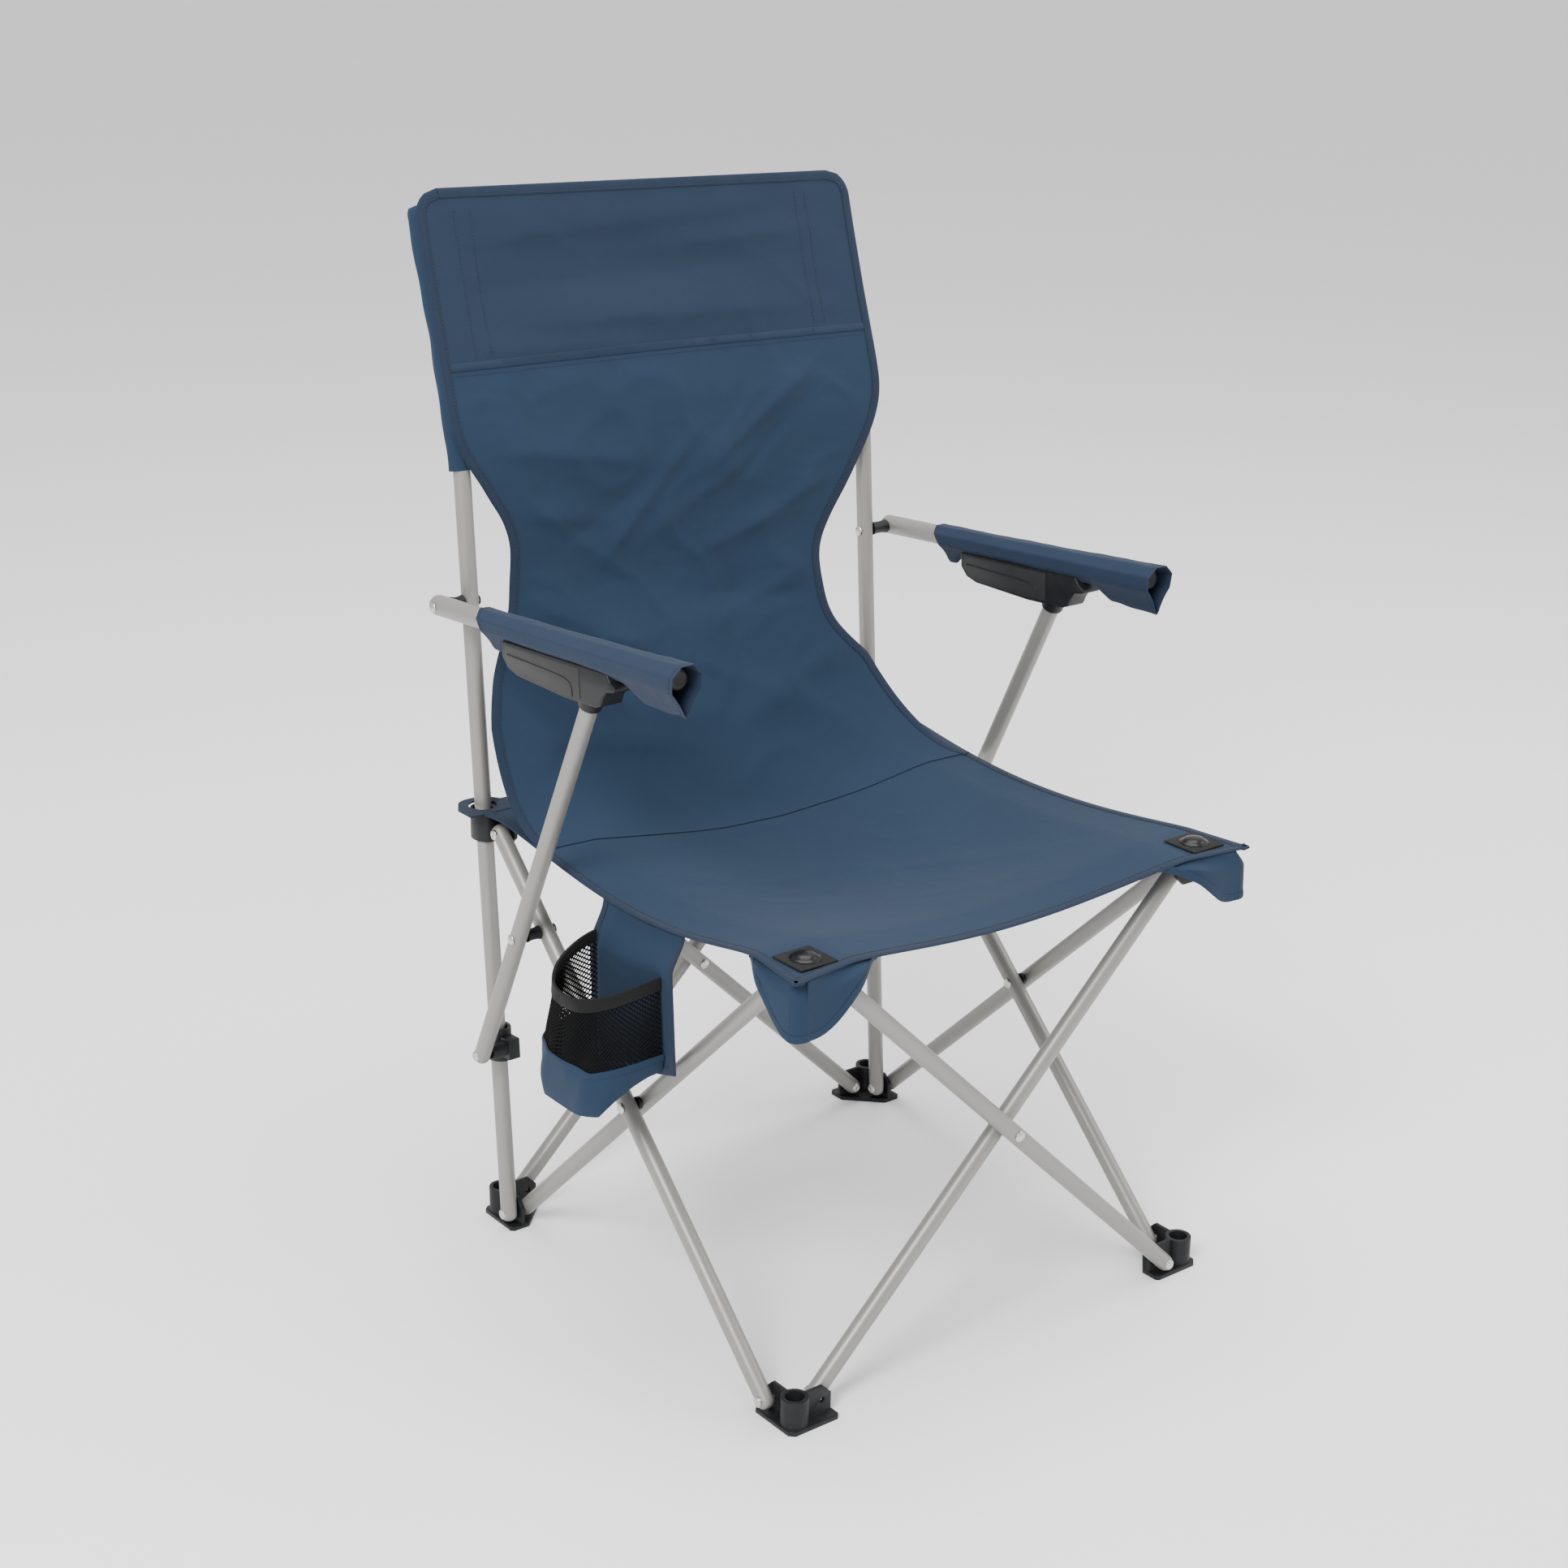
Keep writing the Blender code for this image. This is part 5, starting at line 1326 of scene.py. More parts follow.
@dataclass
class SeatCloth:
    """Seat sling in two halves that meet at mid depth."""

    sag_left: float = 0.029
    sag_right: float = 0.012
    sag_front: float = 0.018
    flat: float = 0.195
    lift: float = 0.0012
    corner: float = 0.0285
    draw_side: float = 0.020
    draw_front: float = 0.026
    front: float = 0.0310
    rear: float = 0.2190
    wide: float = 0.53
    deep_rear: float = 0.222
    deep_front: float = 0.266

    def share(self, u: float) -> float:
        """Sag share along an edge."""
        q = min(1.0, abs(u) / self.flat)
        return (1.0 - q * q) ** 1.3

    def height(self, x: float, y: float) -> float:
        """Height of the cloth's middle surface, from the footprint centre."""
        right = min(1.0, max(0.0, 0.5 + 0.5 * x / DATUM.half))
        side = self.sag_left + (self.sag_right - self.sag_left) * right
        z = DATUM.hub_top + self.lift - side * self.share(y) - self.sag_front * self.share(x)
        wave = 0.0013 * math.sin(23 * x + 9 * y) * math.sin(17 * y - 6 * x + 1.0)
        wave += 0.0005 * math.sin(61 * x - 38 * y + 0.6)
        wave += sum(crease.lift(x, y) for crease in SEAT_CREASES) + 0.0010 * crumple(x, y, 3.0)
        middle = self.share(x) * self.share(y)
        return z + wave * middle - 0.004 * middle

    def side(self, y: float) -> float:
        """Half width at a depth."""
        return DATUM.half + self.corner - self.draw_side * (1 - min(1.0, abs(y) / 0.262) ** 2.2)

    def edge_y(self, x: float) -> float:
        """Front edge at a width."""
        return -DATUM.half - self.front + self.draw_front * (1 - min(1.0, abs(x) / 0.262) ** 2.2)

    def point(self, u: float, y_share: float, half: str) -> np.ndarray:
        """Point of a half at (across, front to rear)."""
        s = 2 * u - 1
        x_mid = s * DATUM.half
        if half == "front":
            y0, y1 = self.edge_y(x_mid), 0.0
        else:
            y0, y1 = 0.0, self.rear
        y = y0 + (y1 - y0) * y_share
        x = s * self.side(y)
        return DATUM.at(x, y, self.height(x, y))

    def build(self) -> None:
        """Build both halves with their bindings and stitching."""
        for half, deep, rows, hubs, edges in (
                ("rear", self.deep_rear, 60, ["hub_rl", "hub_rr"], ("left", "right")),
                ("front", self.deep_front, 66, ["hub_fl", "hub_fr"], ("left", "right", "bottom"))):
            body = "seat_" + half
            sheet = ClothSheet(body + "_cloth", lambda u, v, h=half: self.point(u, v, h), rows, 120)
            obj = sheet.make(Finish.CLOTH, body, [body])
            sheet.area
            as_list(hubs)
            pieces = [obj]
            pieces += [binding(f"{body}_tape_{which}", *sheet.edge(which), Finish.TAPE, body)
                       for which in edges]
            seams = [line + normal * SEAM_RISE
                     for line, _, normal in (sheet.edge(which, 0.0070) for which in edges)]
            pieces.append(Stitching().sew(body + "_stitches", seams, body))
            for piece in pieces:
                Fold.apply(piece)


class Fold:
    """Gives each sling piece its own copy of its mesh."""

    keep = 0.254

    @classmethod
    def apply(cls, piece: bpy.types.Object) -> None:
        """Give a piece its own copy of its mesh."""
        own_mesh(piece)


@dataclass
class SeatCorners:
    """Corner patches, skirts and rear tabs."""

    seat: SeatCloth
    patch_inset: float = 0.0085
    patch_share: float = 0.92
    skirt_side: float = 0.078
    skirt_front: float = 0.094
    skirt_turn: float = 0.012
    skirt_hem: float = 0.005
    eyelet: float = 0.0136

    def build(self) -> None:
        """Build all corner pieces."""
        for corner, sx in (("fl", -1), ("fr", 1)):
            self.patch(corner, sx)
            self.skirt(corner, sx)
        for corner, side in (("rl", "left"), ("rr", "right")):
            self.tab(corner, side)

    def patch(self, corner: str, sx: int) -> None:
        """Square moulded patch with a dome stud."""
        node = "corner_patch_" + corner
        low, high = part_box(node)
        body = "hub_" + corner
        inset = self.patch_inset
        centre = np.array([(low.x + high.x) / 2 - sx * inset, (low.y + high.y) / 2 + inset, low.z])
        wide = (high.x - low.x) * self.patch_share
        bm = bmesh.new()
        bmesh.ops.create_cube(bm, size=1.0)
        bmesh.ops.scale(bm, verts=bm.verts[:], vec=(wide, wide, 0.0016))
        bmesh.ops.translate(bm, verts=bm.verts[:], vec=tuple(centre + np.array([0, 0, -0.0004])))
        obj = place(node + "_plate", mesh_from(bm, node))
        soften(obj, 0.0005, 2, 30)
        dress(obj, Finish.ELASTIC, body, [node])
        dome = [(0.0, 0.0135), (0.0009, 0.0135), (0.0016, 0.0128), (0.0018, 0.0116),
                (0.0028, 0.0106), (0.0042, 0.0084), (0.0051, 0.0054), (0.0055, 0.0002)]
        shell_piece(node + "_stud", turned(dome, centre, (0, 0, 1), 40), Finish.STUD, body)

    def skirt(self, corner: str, sx: int) -> None:
        """Pointed skirt that wraps the corner from the side edge to the front edge."""
        seat, hem, r = self.seat, self.skirt_hem, self.skirt_turn
        body = "hub_" + corner
        total = self.skirt_side + self.skirt_front
        drop, clear = (0.052, 0.0245) if corner == "fl" else (0.046, 0.0273)
        cut = r * (1 - math.pi / 4)

        def path(s: float, hung: bool) -> Pair:
            """Plan point at a share from the side end, on the seat edge or clear of the legs."""
            d = s * total - self.skirt_side
            if hung:
                x_tip, y_tip = DATUM.half + clear, -DATUM.half - clear
            else:
                y_tip = seat.edge_y(DATUM.half) + hem
                x_tip = seat.side(y_tip) - hem
            if d < -r:
                y = y_tip - d - cut
                return (x_tip if hung else seat.side(y) - hem, y)
            if d > r:
                x = x_tip - d + cut
                return (x, y_tip if hung else seat.edge_y(x) + hem)
            turn = (d + r) / (2 * r) * math.pi / 2
            return (x_tip - r + r * math.cos(turn), y_tip + r - r * math.sin(turn))

        def surface(u: float, v: float) -> np.ndarray:
            """Point at (round the corner, down)."""
            (x0, y0), (x1, y1) = path(u, False), path(u, True)
            peak = self.skirt_side / total
            near = 1 - abs(u - peak) / (peak if u < peak else 1 - peak)
            depth = drop * (0.04 + 0.96 * math.sin(min(1.0, near * 1.25) * math.pi / 2) ** 1.6)
            hang = ease(v / 0.35) * ease(near / 0.3)
            flare = 1 + 0.006 * math.sin(u * 17 + 1) * v
            x, y = (x0 + (x1 - x0) * hang) * flare, (y0 + (y1 - y0) * hang) * flare
            return DATUM.at(sx * x, y, seat.height(sx * x0, y0) - 0.0016 - depth * v)

        sheet = ClothSheet(f"skirt_{corner}", surface, 26, 64)
        obj = sheet.make(Finish.CLOTH, body, ["flap_" + corner])
        min(sheet.area, total * 1.02 * drop * 1.05)
        binding(f"skirt_{corner}_hem", *sheet.edge("top"), Finish.CLOTH, body, 0.006, 0.0022)

    def tab(self, corner: str, side: str) -> None:
        """Rear seat corner with the eyelet that its post passes through."""
        node = "seat_tab_" + corner
        low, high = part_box(node)
        body = "hub_" + corner
        x0, x1, y0, y1 = low.x, high.x, low.y, high.y
        z = DATUM.hub_top + 0.0014
        line = PostLine(side)
        s = (z - line.foot[2]) / math.cos(line.lean)
        eye = line.point(s)
        outline = [(x0, y0 - 0.004), (x1, y0 - 0.004), (x1, y0 + 0.020), (x1 - 0.010, y1 - 0.004),
                   (x1 - 0.018, y1), (x0 + 0.018, y1), (x0 + 0.010, y1 - 0.004), (x0, y0 + 0.020)]
        count = 48
        ring_in, ring_out = [], []
        for k in range(count):
            turn = TAU * k / count
            d = np.array([math.cos(turn), math.sin(turn)])
            ring_in.append((eye[0] + self.eyelet * d[0], eye[1] + 0.0008 + self.eyelet * d[1]))
            ring_out.append(self.cast(np.array([eye[0], eye[1]]), d, outline))
        verts, faces = [], []
        for zz in (z + 0.0009, z - 0.0009):
            verts += [(x, y, zz) for x, y in ring_in] + [(x, y, zz) for x, y in ring_out]
        for k in range(count):
            m = (k + 1) % count
            base = 2 * count
            faces.append((k, m, count + m, count + k))
            faces.append((base + k, base + count + k, base + count + m, base + m))
            faces.append((count + k, count + m, base + count + m, base + count + k))
            faces.append((k, base + k, base + m, m))
        uvs = [(v[0], v[1]) for v in verts]
        obj = mesh_piece(node + "_cloth", verts, faces, Finish.TAPE, body, [node], uvs, 50)
        turns = zip(outline, outline[1:] + outline[:1])
        area = abs(sum(a[0] * b[1] - b[0] * a[1] for a, b in turns)) / 2
        area -= math.pi * self.eyelet ** 2

    @staticmethod
    def cast(start: np.ndarray, d: np.ndarray, outline: Sequence[Pair]) -> Pair:
        """Where a ray from inside meets the outline."""
        best = 1.0
        points = [np.array(p) for p in outline]
        for a, b in zip(points, points[1:] + points[:1]):
            e = b - a
            det = d[0] * -e[1] + d[1] * e[0]
            if abs(det) < 1e-12:
                continue
            w = a - start
            t = (w[0] * -e[1] + w[1] * e[0]) / det
            k = (d[0] * w[1] - d[1] * w[0]) / det
            if t > 0 and -1e-9 <= k <= 1 + 1e-9:
                best = min(best, t)
        return (float(start[0] + d[0] * best), float(start[1] + d[1] * best))


BACK_CREASES = [
    Crease((0.035, 0.725), (0.155, 0.800), 0.010, 0.0042),
    Crease((0.06, 0.700), (0.14, 0.765), 0.012, -0.003),
    Crease((-0.09, 0.655), (0.005, 0.745), 0.011, 0.0040),
    Crease((-0.04, 0.665), (0.08, 0.725), 0.016, 0.0034),
    Crease((0.07, 0.655), (0.16, 0.690), 0.010, 0.0034),
    Crease((0.02, 0.640), (0.10, 0.660), 0.012, 0.0028),
    Crease((-0.20, 0.760), (-0.06, 0.735), 0.014, 0.0028),
    Crease((-0.19, 0.700), (-0.10, 0.685), 0.012, 0.0024),
    Crease((-0.16, 0.660), (-0.02, 0.720), 0.022, -0.0030),
    Crease((0.15, 0.615), (0.03, 0.575), 0.013, 0.0034),
    Crease((0.14, 0.585), (0.00, 0.600), 0.016, -0.0026),
    Crease((-0.20, 0.625), (-0.07, 0.560), 0.016, 0.0038),
    Crease((-0.20, 0.585), (-0.13, 0.500), 0.014, -0.0032),
    Crease((-0.10, 0.580), (-0.06, 0.500), 0.013, 0.0030),
    Crease((0.18, 0.540), (0.03, 0.490), 0.016, 0.0036),
    Crease((0.05, 0.610), (0.02, 0.500), 0.020, -0.0030),
    Crease((-0.02, 0.540), (0.10, 0.480), 0.013, 0.0026),
    Crease((-0.22, 0.500), (-0.05, 0.470), 0.014, 0.0028),
    Crease((-0.20, 0.900), (0.12, 0.905), 0.022, -0.0036),
    Crease((-0.18, 0.944), (0.10, 0.955), 0.017, 0.0032),
    Crease((-0.12, 0.868), (0.14, 0.860), 0.015, 0.0034),
    Crease((-0.20, 0.850), (-0.05, 0.842), 0.010, 0.0022),
    Crease((0.02, 0.925), (0.17, 0.930), 0.012, 0.0022)]


@dataclass
class BackCloth:
    """Back sling with a double head panel, post pockets and a seam on the seat."""

    seat: SeatCloth
    wide: float = 0.515
    tall: float = 0.60
    top_left: float = 0.992
    top_right: float = 0.982
    join_y: Pair = (0.172, 0.142)
    ahead: float = 0.0103
    head_seam: float = 0.832
    corner: float = 0.024
    roll: float = 0.085
    knee: float = 0.16
    rows: int = 150
    cols: int = 118
    left: tuple[Pair, ...] = (
        (0.430, -0.254), (0.460, -0.2555), (0.500, -0.2535), (0.530, -0.247), (0.560, -0.238),
        (0.580, -0.228), (0.600, -0.217), (0.620, -0.210), (0.645, -0.207), (0.660, -0.205),
        (0.675, -0.204), (0.690, -0.207), (0.705, -0.213), (0.720, -0.223), (0.735, -0.231),
        (0.750, -0.241), (0.765, -0.249), (0.780, -0.2545), (0.795, -0.2565), (0.900, -0.2560),
        (0.960, -0.2555), (1.000, -0.2550))
    right: tuple[Pair, ...] = (
        (0.430, 0.246), (0.450, 0.239), (0.465, 0.227), (0.480, 0.214), (0.495, 0.204),
        (0.510, 0.194), (0.525, 0.181), (0.540, 0.167), (0.555, 0.157), (0.570, 0.153),
        (0.600, 0.1525), (0.615, 0.153), (0.630, 0.157), (0.645, 0.165), (0.660, 0.175),
        (0.675, 0.187), (0.690, 0.198), (0.705, 0.208), (0.720, 0.218), (0.735, 0.227),
        (0.750, 0.234), (0.765, 0.239), (0.780, 0.241), (0.810, 0.240), (0.870, 0.2375),
        (0.930, 0.2365), (1.000, 0.2365))

    def edges(self, z: float, top: float) -> Pair:
        """Left and right X of the sling at a height, with the top corners rounded."""
        left, right = (float(np.interp(z, self.table_z, spots))
                       for spots in (self.table_left, self.table_right))
        over = min(1.0, max(0.0, z - top + self.corner) / self.corner)
        cut = self.corner * (1 - math.sqrt(max(0.0, 1 - over * over)))
        return left + cut, right - cut

    def base_y(self, z: float, join: float) -> float:
        """Y of the sling at a height, for a given seam on the seat."""
        at_post = self.line.front(z, self.ahead) - DATUM.centre[1]
        turn_z = 0.640
        if z >= turn_z:
            return at_post
        q = (turn_z - z) / (turn_z - DATUM.hub_top + 0.01)
        return at_post + (join - at_post) * q ** 1.7

    def upright(self, u: float, z: float) -> Pair:
        """X and Y of the sling at a share across and a height."""
        top = self.top_left + (self.top_right - self.top_left) * u
        left, right = self.edges(z, top)
        low = float(np.interp(z, self.table_z, self.table_low))
        high = float(np.interp(z, self.table_z, self.table_high))
        return left + (right - left) * u, low + (high - low) * u

    def point(self, u: float, v: float) -> np.ndarray:
        """Point at (across, up): a roll out of the seat, then up along the posts."""
        top = self.top_left + (self.top_right - self.top_left) * u
        turn = DATUM.hub_top + self.roll
        if v < self.knee:
            t = v / self.knee
            x1, y1 = self.upright(u, turn)
            _, y2 = self.upright(u, turn + 0.01)
            x0 = (2 * u - 1) * (self.seat.side(0.10) - 0.0012)
            y0 = self.join_y[0] + (self.join_y[1] - self.join_y[0]) * u - 0.040
            z0 = self.seat.height(x0, y0) + 0.00125
            xm, _ = self.upright(u, turn - 0.045)
            zm = self.seat.height(x0, y0 + 0.03) + 0.0016
            ym = y1 - (y2 - y1) / 0.01 * (turn - zm)
            ym = max(ym, y0 + 0.012)
            a, b, c = (1 - t) ** 2, 2 * t * (1 - t), t * t
            x = a * x0 + b * xm + c * x1
            y = a * y0 + b * ym + c * y1
            z = a * z0 + b * zm + c * turn
        else:
            z = turn + (top - turn) * (v - self.knee) / (1 - self.knee)
            x, y = self.upright(u, z)
        rim = ease(min(u, 1 - u) / 0.12) * ease(v / 0.12) * ease((1 - v) / 0.05)
        lift = sum(crease.lift(x, z) for crease in BACK_CREASES) * rim
        hollow = 0.006 * math.sin(math.pi * u) * ease((z - 0.50) / 0.15) * ease((0.985 - z) / 0.05)
        ripple = 0.0008 * math.sin(47 * x + 31 * z) * math.sin(29 * x - 53 * z + 0.8) * rim
        lift += (0.0022 if z < self.head_seam else 0.0012) * crumple(x, z, 1.0) * rim
        return DATUM.at(x, y - lift + hollow + ripple, z)

    def build(self) -> None:
        """Build the back, its bindings, seams and pockets."""
        self.line = PostLine("left")
        self.table_z = np.linspace(0.43, 1.0, 115)
        self.table_low, self.table_high = (np.array([self.base_y(z, join) for z in self.table_z])
                                           for join in self.join_y)
        soft = np.array([0.1, 0.2, 0.4, 0.2, 0.1])
        self.table_left, self.table_right = (
            np.convolve(np.pad(np.interp(self.table_z, *zip(*line)), 2, mode="edge"), soft, "valid")
            for line in (self.left, self.right))
        body = "post_left"
        sheet = ClothSheet("back_cloth", self.point, self.rows, self.cols)
        turn = DATUM.hub_top + self.roll
        head_share = (self.head_seam - turn) / (self.top_right - turn)
        seam_row = int((self.knee + (1 - self.knee) * head_share) * (self.rows - 1))
        # Faces above the head seam take the painted-light copy of the blue cloth.
        obj = sheet.make(Finish.CLOTH, body, ["back_panel"], Finish.HEAD, seam_row)
        min(sheet.area, self.wide * self.tall)
        edges = ("left", "right", "top")
        pieces = [obj]
        pieces += [binding(f"back_tape_{which}", *sheet.edge(which), Finish.TAPE, body)
                   for which in edges]
        seams = [line + normal * SEAM_RISE
                 for line, _, normal in (sheet.edge(which, 0.0072) for which in edges)]
        raised = sheet.grid + sheet.normals * PANEL_SEAM_RISE
        seams += [raised[row, 3:-3] for row in (seam_row - 1, seam_row + 1)]
        seams += [raised[seam_row + 3:-5, int(share * (self.cols - 1))]
                  for share in (0.085, 0.115, 0.865, 0.895)]
        pieces.append(Stitching().sew("back_stitches", seams, body))
        pieces.append(self.head_hem(sheet, seam_row, body))
        for piece in pieces:
            Fold.apply(piece)
        for side in ("left", "right"):
            self.pocket(side)

    @staticmethod
    def head_hem(sheet: ClothSheet, seam_row: int, body: str) -> bpy.types.Object:
        """Turned lower hem of the head panel."""
        row = sheet.grid[seam_row, 2:-2]
        normal = sheet.normals[seam_row, 2:-2]
        up = sheet.grid[seam_row + 2, 2:-2] - row
        up /= np.linalg.norm(up, axis=1)[:, None]
        section = [(0.0075, 0.0004), (0.0068, 0.0013), (0.0010, 0.0016), (0.0, 0.0012),
                   (0.0, 0.0003)]
        rings = np.array([[p + a * rise + b * out for rise, out in section]
                          for p, a, b in zip(row, up, normal)])
        # The hem takes the same painted-light copy of the blue cloth as the head panel.
        return shell_piece("head_hem", loft(rings), Finish.HEAD, body, (), 50)

    def pocket(self, side: str) -> None:
        """Cloth pocket over a post: a flattened sleeve, closed on top."""
        node = "pocket_" + side
        line = PostLine(side)
        count = 36
        outer, inner = [], []
        for s in np.r_[np.linspace(0.735, 0.966, 44), 0.9705, 0.9725]:
            centre = line.point(s)
            tangent = line.point(s + 0.002) - line.point(s - 0.002)
            tangent /= np.linalg.norm(tangent)
            back = np.cross(tangent, np.array([-1.0, 0, 0]))
            if back[1] < 0:
                back = -back
            closing = 1.0 if s < 0.967 else (0.86 if s < 0.971 else 0.30)
            ring_o, ring_i = [], []
            for k in range(count):
                turn = TAU * k / count
                cx, cy = math.cos(turn), math.sin(turn)
                wave = 0.0006 * math.sin(3 * turn + s * 40) + 0.0004 * math.sin(s * 120 + turn)
                ro = (0.0108 + wave) * closing
                ri = 0.0087 * closing
                flat_o, flat_i = (0.80, 0.96) if cy <= 0 else (1.0, 1.0)
                ring_o.append(centre + np.array([cx * ro * 1.10, 0, 0]) + back * cy * flat_o * ro)
                ring_i.append(centre + np.array([cx * ri, 0, 0]) + back * cy * flat_i * ri)
            outer.append(ring_o)
            inner.append(ring_i)
        rings = np.concatenate([np.array(inner)[::-1][2:], np.array(outer)])
        verts, faces, uvs = loft(rings)
        faces = faces[:-2] + [faces[-1]]
        obj = mesh_piece(node + "_cloth", verts, faces + [tuple(range(count))[::-1]], Finish.CLOTH,
                         "post_" + side, [node], uvs, 60)


# ------------------------------------------------------------------ cup holder
@dataclass
class CupHolder:
    """Hanging panel with a net pocket, an elastic rim and a boxy cloth base."""

    seat: SeatCloth
    body: str = "cup_holder"
    cell: float = 0.0046
    cord: float = 0.0016
    net_depth: float = 0.020
    strip: Pair = (0.245, 0.045)
    bottom: Pair = (0.074, 0.100)
    strip_cols: int = 90

    def build(self) -> None:
        """Build the panel, base, net and rim."""
        low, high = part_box("cup_mesh")
        self.x0 = high.x
        self.reach = high.x - low.x
        self.yc = (low.y + high.y) / 2
        self.half = (high.y - low.y) / 2
        self.base_low, self.base_top = (corner.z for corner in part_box("cup_base"))
        self.rim_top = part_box("cup_rim")[1].z
        self.panel()
        self.base()
        self.net()
        self.rim()

    def plan(self, t: float, z: float, grow: float = 0.0) -> np.ndarray:
        """Point of the pocket wall at a share round it from front to rear, and a height."""
        h = (z - self.base_low) / (self.rim_top - self.base_low)
        turn = math.pi * t
        square = 1.0 + 0.10 * (1 - h)
        reach = (self.reach - 0.004) * (0.96 + 0.04 * math.sin(h * math.pi)) + grow
        half = (self.half - 0.003) * (0.97 + 0.03 * h) + grow + 0.010 * (1 - h) * (1 - t)
        c, s = math.cos(turn), math.sin(turn)
        power = 0.46 + 0.40 * ease((h - 0.20) / 0.6)
        cy = math.copysign(abs(c) ** power, c)
        sx = abs(s) ** power
        ripple = 0.0016 * math.sin(9 * turn + 14 * h) * abs(s)
        ripple *= math.sin(math.pi * min(1.0, h * 1.2))
        x = self.x0 - (reach * square * 0.93 + ripple) * sx
        y = self.yc - half * cy
        return np.array([x, y, z])

    def rim_z(self, t: float) -> float:
        """Height of the rim: low at the front corner, higher at the rear."""
        return self.rim_top - 0.020 * math.sin(math.pi * t) ** 1.2 - 0.012 * (1 - t)

    def base_z(self, t: float) -> float:
        """Height of the base's upper hem."""
        return self.base_low + float(np.interp(t, (0, 0.3, 0.6, 1), (0.066, 0.060, 0.066, 0.076)))

    def base_bottom(self, t: float) -> float:
        """Height of the base's lower edge, which drops to a point in the middle."""
        drops = (0.050, 0.0200, 0.015, 0.022)
        return self.base_low + float(np.interp(t, (0, 0.26, 0.62, 1), drops))

    def panel(self) -> None:
        """Panel sewn under the seat edge."""
        low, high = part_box("cup_panel")
        half = (high.y - low.y) / 2

        def surface(u: float, v: float) -> np.ndarray:
            """Point at (front to rear, up)."""
            wide = 1.0 + (0.13 * (1 - v) if u < 0.5 else -0.10 * (1 - v))
            y = (low.y + high.y) / 2 - half * (1 - 2 * u) * wide
            foot = low.z + 0.006 + 0.034 * (1 - u) ** 1.3
            y_seat = y - DATUM.centre[1]
            edge = -self.seat.side(y_seat) + 0.0025
            top = self.seat.height(edge, y_seat) - 0.0012
            z = foot + (top - foot) * v
            sag = 0.0028 * math.sin(3.6 * v + 4 * u) * math.sin(math.pi * u) * (1 - v)
            x_low = low.x + 0.0016
            x = x_low + sag + (edge + DATUM.centre[0] - x_low) * ease((v - 0.72) / 0.28)
            return np.array([x, y, z])

        sheet = ClothSheet("cup_panel_cloth", surface, 50, 40)
        obj = sheet.make(Finish.CLOTH, self.body, ["cup_panel"])
        sheet.area
        for which in ("left", "right", "bottom"):
            binding(f"cup_panel_tape_{which}", *sheet.edge(which), Finish.TAPE, self.body, 0.0065)

    def base(self) -> None:
        """Cloth base: a low wall and a floor, drooping to a soft corner."""
        def surface(u: float, v: float) -> np.ndarray:
            """Point at (round, up)."""
            z = self.base_bottom(u) + (self.base_z(u) - self.base_bottom(u)) * v
            pinch = 0.0035 * (1 - v) ** 2
            return self.plan(u, z, 0.0012 - pinch)

        sheet = ClothSheet("cup_base_cloth", surface, 24, self.strip_cols)
        obj = sheet.make(Finish.CLOTH, self.body, ["cup_base"])
        min(sheet.area, self.strip[0] * self.strip[1])
        binding("cup_base_hem", *sheet.edge("top"), Finish.CLOTH, self.body, 0.005, 0.0022)
        self.bottom_cloth(sheet.grid[0])

    def bottom_cloth(self, ring: np.ndarray) -> None:
        """Floor of the base, drawn in from the base's lower edge to its middle."""
        rows = 14
        centre = np.array([self.x0 - self.reach * 0.42, self.yc, float(ring[:, 2].mean()) + 0.002])
        edge = np.concatenate([ring, [(ring[-1] + ring[0]) * 0.5]])
        count = len(edge)
        verts = [edge * (1 - r / rows) + centre * (r / rows) for r in range(rows)] + [[centre]]
        faces: list[Sequence[int]] = list(grid_faces(rows, count, True))
        last = (rows - 1) * count
        faces += [(last + c, last + (c + 1) % count, rows * count) for c in range(count)]
        points = np.concatenate(verts)
        floor = mesh_piece("cup_floor_cloth", points, faces, Finish.CLOTH, self.body, (),
                           points[:, :2], 70)
        solid = floor.modifiers.new("cloth_wall", "SOLIDIFY")
        solid.thickness = 0.0012
        solid.offset = 0
        apply_modifiers(floor)

    @staticmethod
    def flat_area(obj: bpy.types.Object) -> float:
        """Area of a mesh."""
        return float(sum(poly.area for poly in obj.data.polygons))

    def net(self) -> None:
        """Open net between the base and the rim, as a hexagonal lattice of cords."""
        run = NodeRun("net_run", {"Cord": self.cord})
        lattice = run.add("GeometryNodeMeshToCurve", None, {0: run.given("Geometry")})
        half = run.add("ShaderNodeMath", {"operation": "MULTIPLY"}, {0: run.given("Cord"), 1: 0.5})
        section = run.add("GeometryNodeCurvePrimitiveCircle", None, {"Resolution": 4})
        for socket in section.inputs:
            if socket.name == "Radius":
                run.tree.links.new(half.outputs[0], socket)
        cords = run.add("GeometryNodeCurveToMesh", None,
                        {"Curve": lattice.outputs[0], "Profile Curve": section.outputs[0]})
        run.close(cords.outputs[0])
        mesh = bpy.data.meshes.new("net")
        mesh.from_pydata(*self.lattice(), [])
        obj = run.run(place("cup_net", mesh), Finish.NET)
        dress(obj, Finish.NET, self.body, ["cup_mesh"], 80)

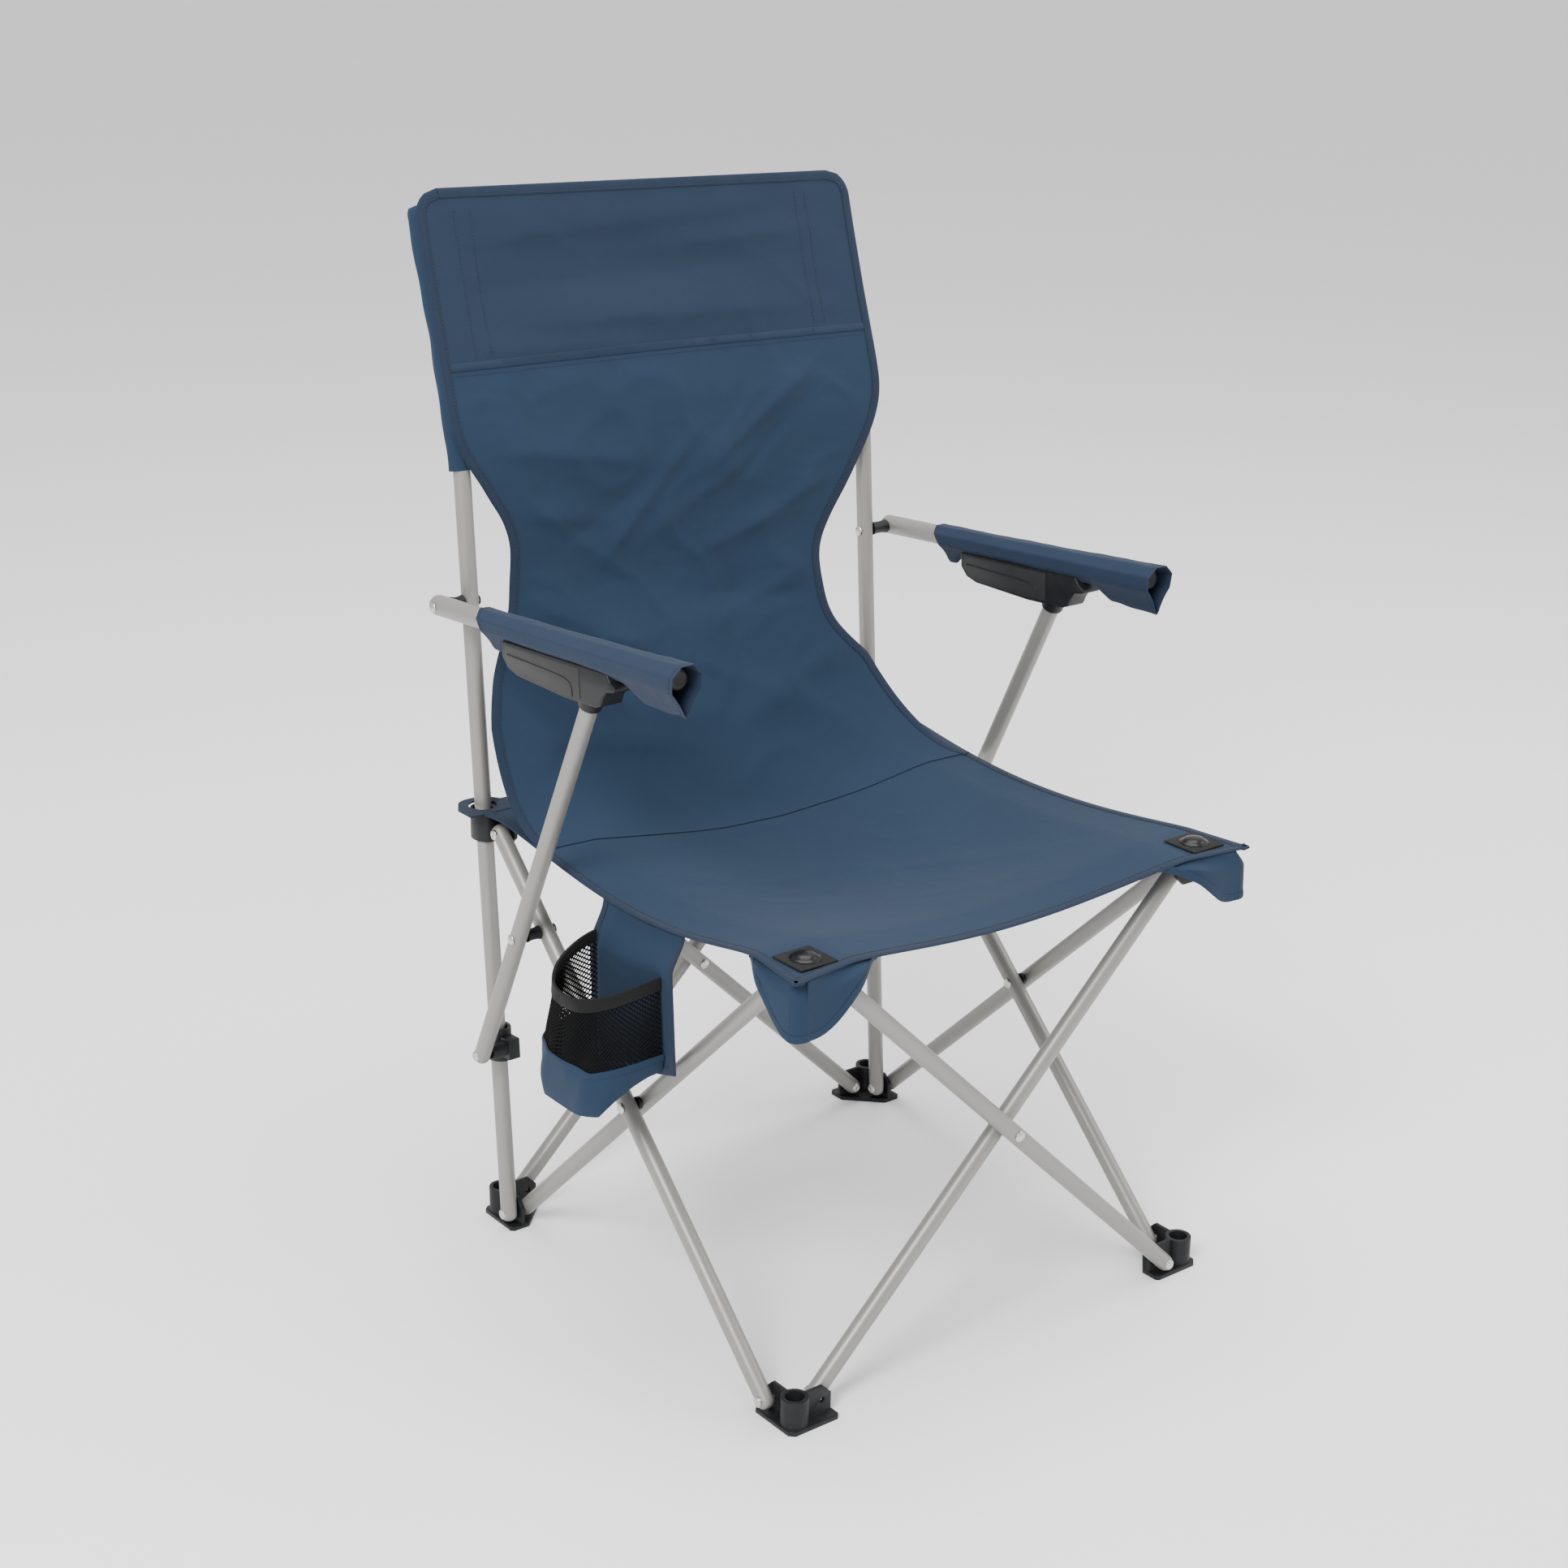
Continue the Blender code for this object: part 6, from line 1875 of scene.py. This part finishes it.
    def lattice(self) -> tuple[list[Point], list[tuple[int, int]]]:
        """Points and edges of the net's cords, laid on the pocket wall."""
        line = np.array([self.plan(k / 60, 0.3) for k in range(61)])
        length = float(np.linalg.norm(np.diff(line, axis=0), axis=1).sum())
        cols = int(length / self.cell)
        tall = self.rim_top - self.base_top + self.net_depth
        rows = int(tall / (self.cell * 0.5 * math.sqrt(3)))
        points, edges = [], []
        for r in range(rows + 1):
            slant = 0.25 if r % 2 else -0.25
            for c in range(cols + 1):
                t = min(1.0, max(0.0, (c + slant) / cols))
                low, high = self.base_z(t) - 0.003, self.rim_z(t) - 0.006
                points.append(tuple(self.plan(t, low + (high - low) * r / rows, -0.0004)))
                here, above = r * (cols + 1) + c, (r + 1) * (cols + 1) + c
                if r < rows:
                    edges.append((here, above))
                    if 0 <= c + (1 if r % 2 else -1) <= cols:
                        edges.append((here, above + (1 if r % 2 else -1)))
        return points, edges

    def rim(self) -> None:
        """Elastic band round the mouth."""
        section = ((0.0, 0.0002), (0.0006, 0.0014), (0.0115, 0.0014), (0.0124, 0.0004),
                   (0.0115, -0.0010), (0.0006, -0.0010))
        rings = [[self.plan(t, self.rim_z(t) - down, out) for down, out in section]
                 for t in (k / 89 for k in range(90))]
        shell_piece("cup_rim_band", loft(np.array(rings)), Finish.ELASTIC, self.body,
                    ["cup_rim"], 50)


# ------------------------------------------------------------------ studio
@dataclass
class Studio:
    """Floor, lights and camera."""

    eye: Point = (-1.46903, -1.76945, 1.29205)
    azimuth: float = -0.668106
    elevation: float = 0.342961
    roll: float = 0.016725
    lens: float = 60.821
    reach: float = 60.0
    surround: float = 1.05

    def build(self) -> None:
        """Build the studio."""
        self.floor()
        self.lights()
        self.camera()

    def floor(self) -> None:
        """Pale floor."""
        mesh = bpy.data.meshes.new("floor")
        a = self.reach
        mesh.from_pydata([(-a, -a, 0), (a, -a, 0), (a, a, 0), (-a, a, 0)], [], [(0, 1, 2, 3)])
        mesh.materials.append(FloorPaper().make())
        place("floor", mesh)

    def lights(self) -> None:
        """Large soft lights and a bright surround."""
        world = bpy.data.worlds.new("surround")
        world.use_nodes = True
        back = world.node_tree.nodes["Background"]
        back.inputs[0].default_value = (1.0, 1.0, 1.0, 1)
        back.inputs[1].default_value = self.surround
        bpy.context.scene.world = world
        for name, spot, power, size in (("key", (-2.9, -1.5, 3.2), 210, 1.5),
                                        ("fill", (2.8, -1.6, 2.4), 60, 2.4),
                                        ("top", (0.3, 0.4, 3.6), 90, 2.4)):
            data = bpy.data.lights.new(name, "AREA")
            data.energy = power
            data.size = size
            turn = (Vector((0, 0, 0.5)) - Vector(spot)).to_track_quat("-Z", "Y")
            place(name, data).matrix_world = Matrix.Translation(spot) @ turn.to_matrix().to_4x4()

    def camera(self) -> None:
        """Camera at the front left, slightly above."""
        c, s = math.cos, math.sin
        az, el, roll = self.azimuth, self.elevation, self.roll
        view = Vector((s(-az) * c(el), c(az) * c(el), -s(el)))
        right = view.cross(Vector((0, 0, 1))).normalized()
        up = right.cross(view)
        side = right * c(roll) + up * s(roll)
        top = -right * s(roll) + up * c(roll)
        turn = Matrix((side, top, -view)).transposed().to_4x4()
        data = bpy.data.cameras.new("camera")
        data.sensor_width = 36.0
        data.lens = self.lens
        data.clip_end = 60
        camera = place("camera", data)
        eye = Vector(self.eye) + Vector(tuple(DATUM.centre))
        camera.matrix_world = Matrix.Translation(eye) @ turn
        bpy.context.scene.camera = camera


def main() -> None:
    """Build the chair and its studio in order."""
    logging.basicConfig(level=logging.INFO, format="%(name)s: %(message)s")
    seat = SeatCloth()
    for part in (LegSet(), Posts(), Mouldings(), ArmSet("left"), ArmSet("right"), seat,
                 SeatCorners(seat), BackCloth(seat), CupHolder(seat), Studio()):
        LOG.info("building %s", type(part).__name__)
        part.build()


if __name__ == "__main__":
    main()
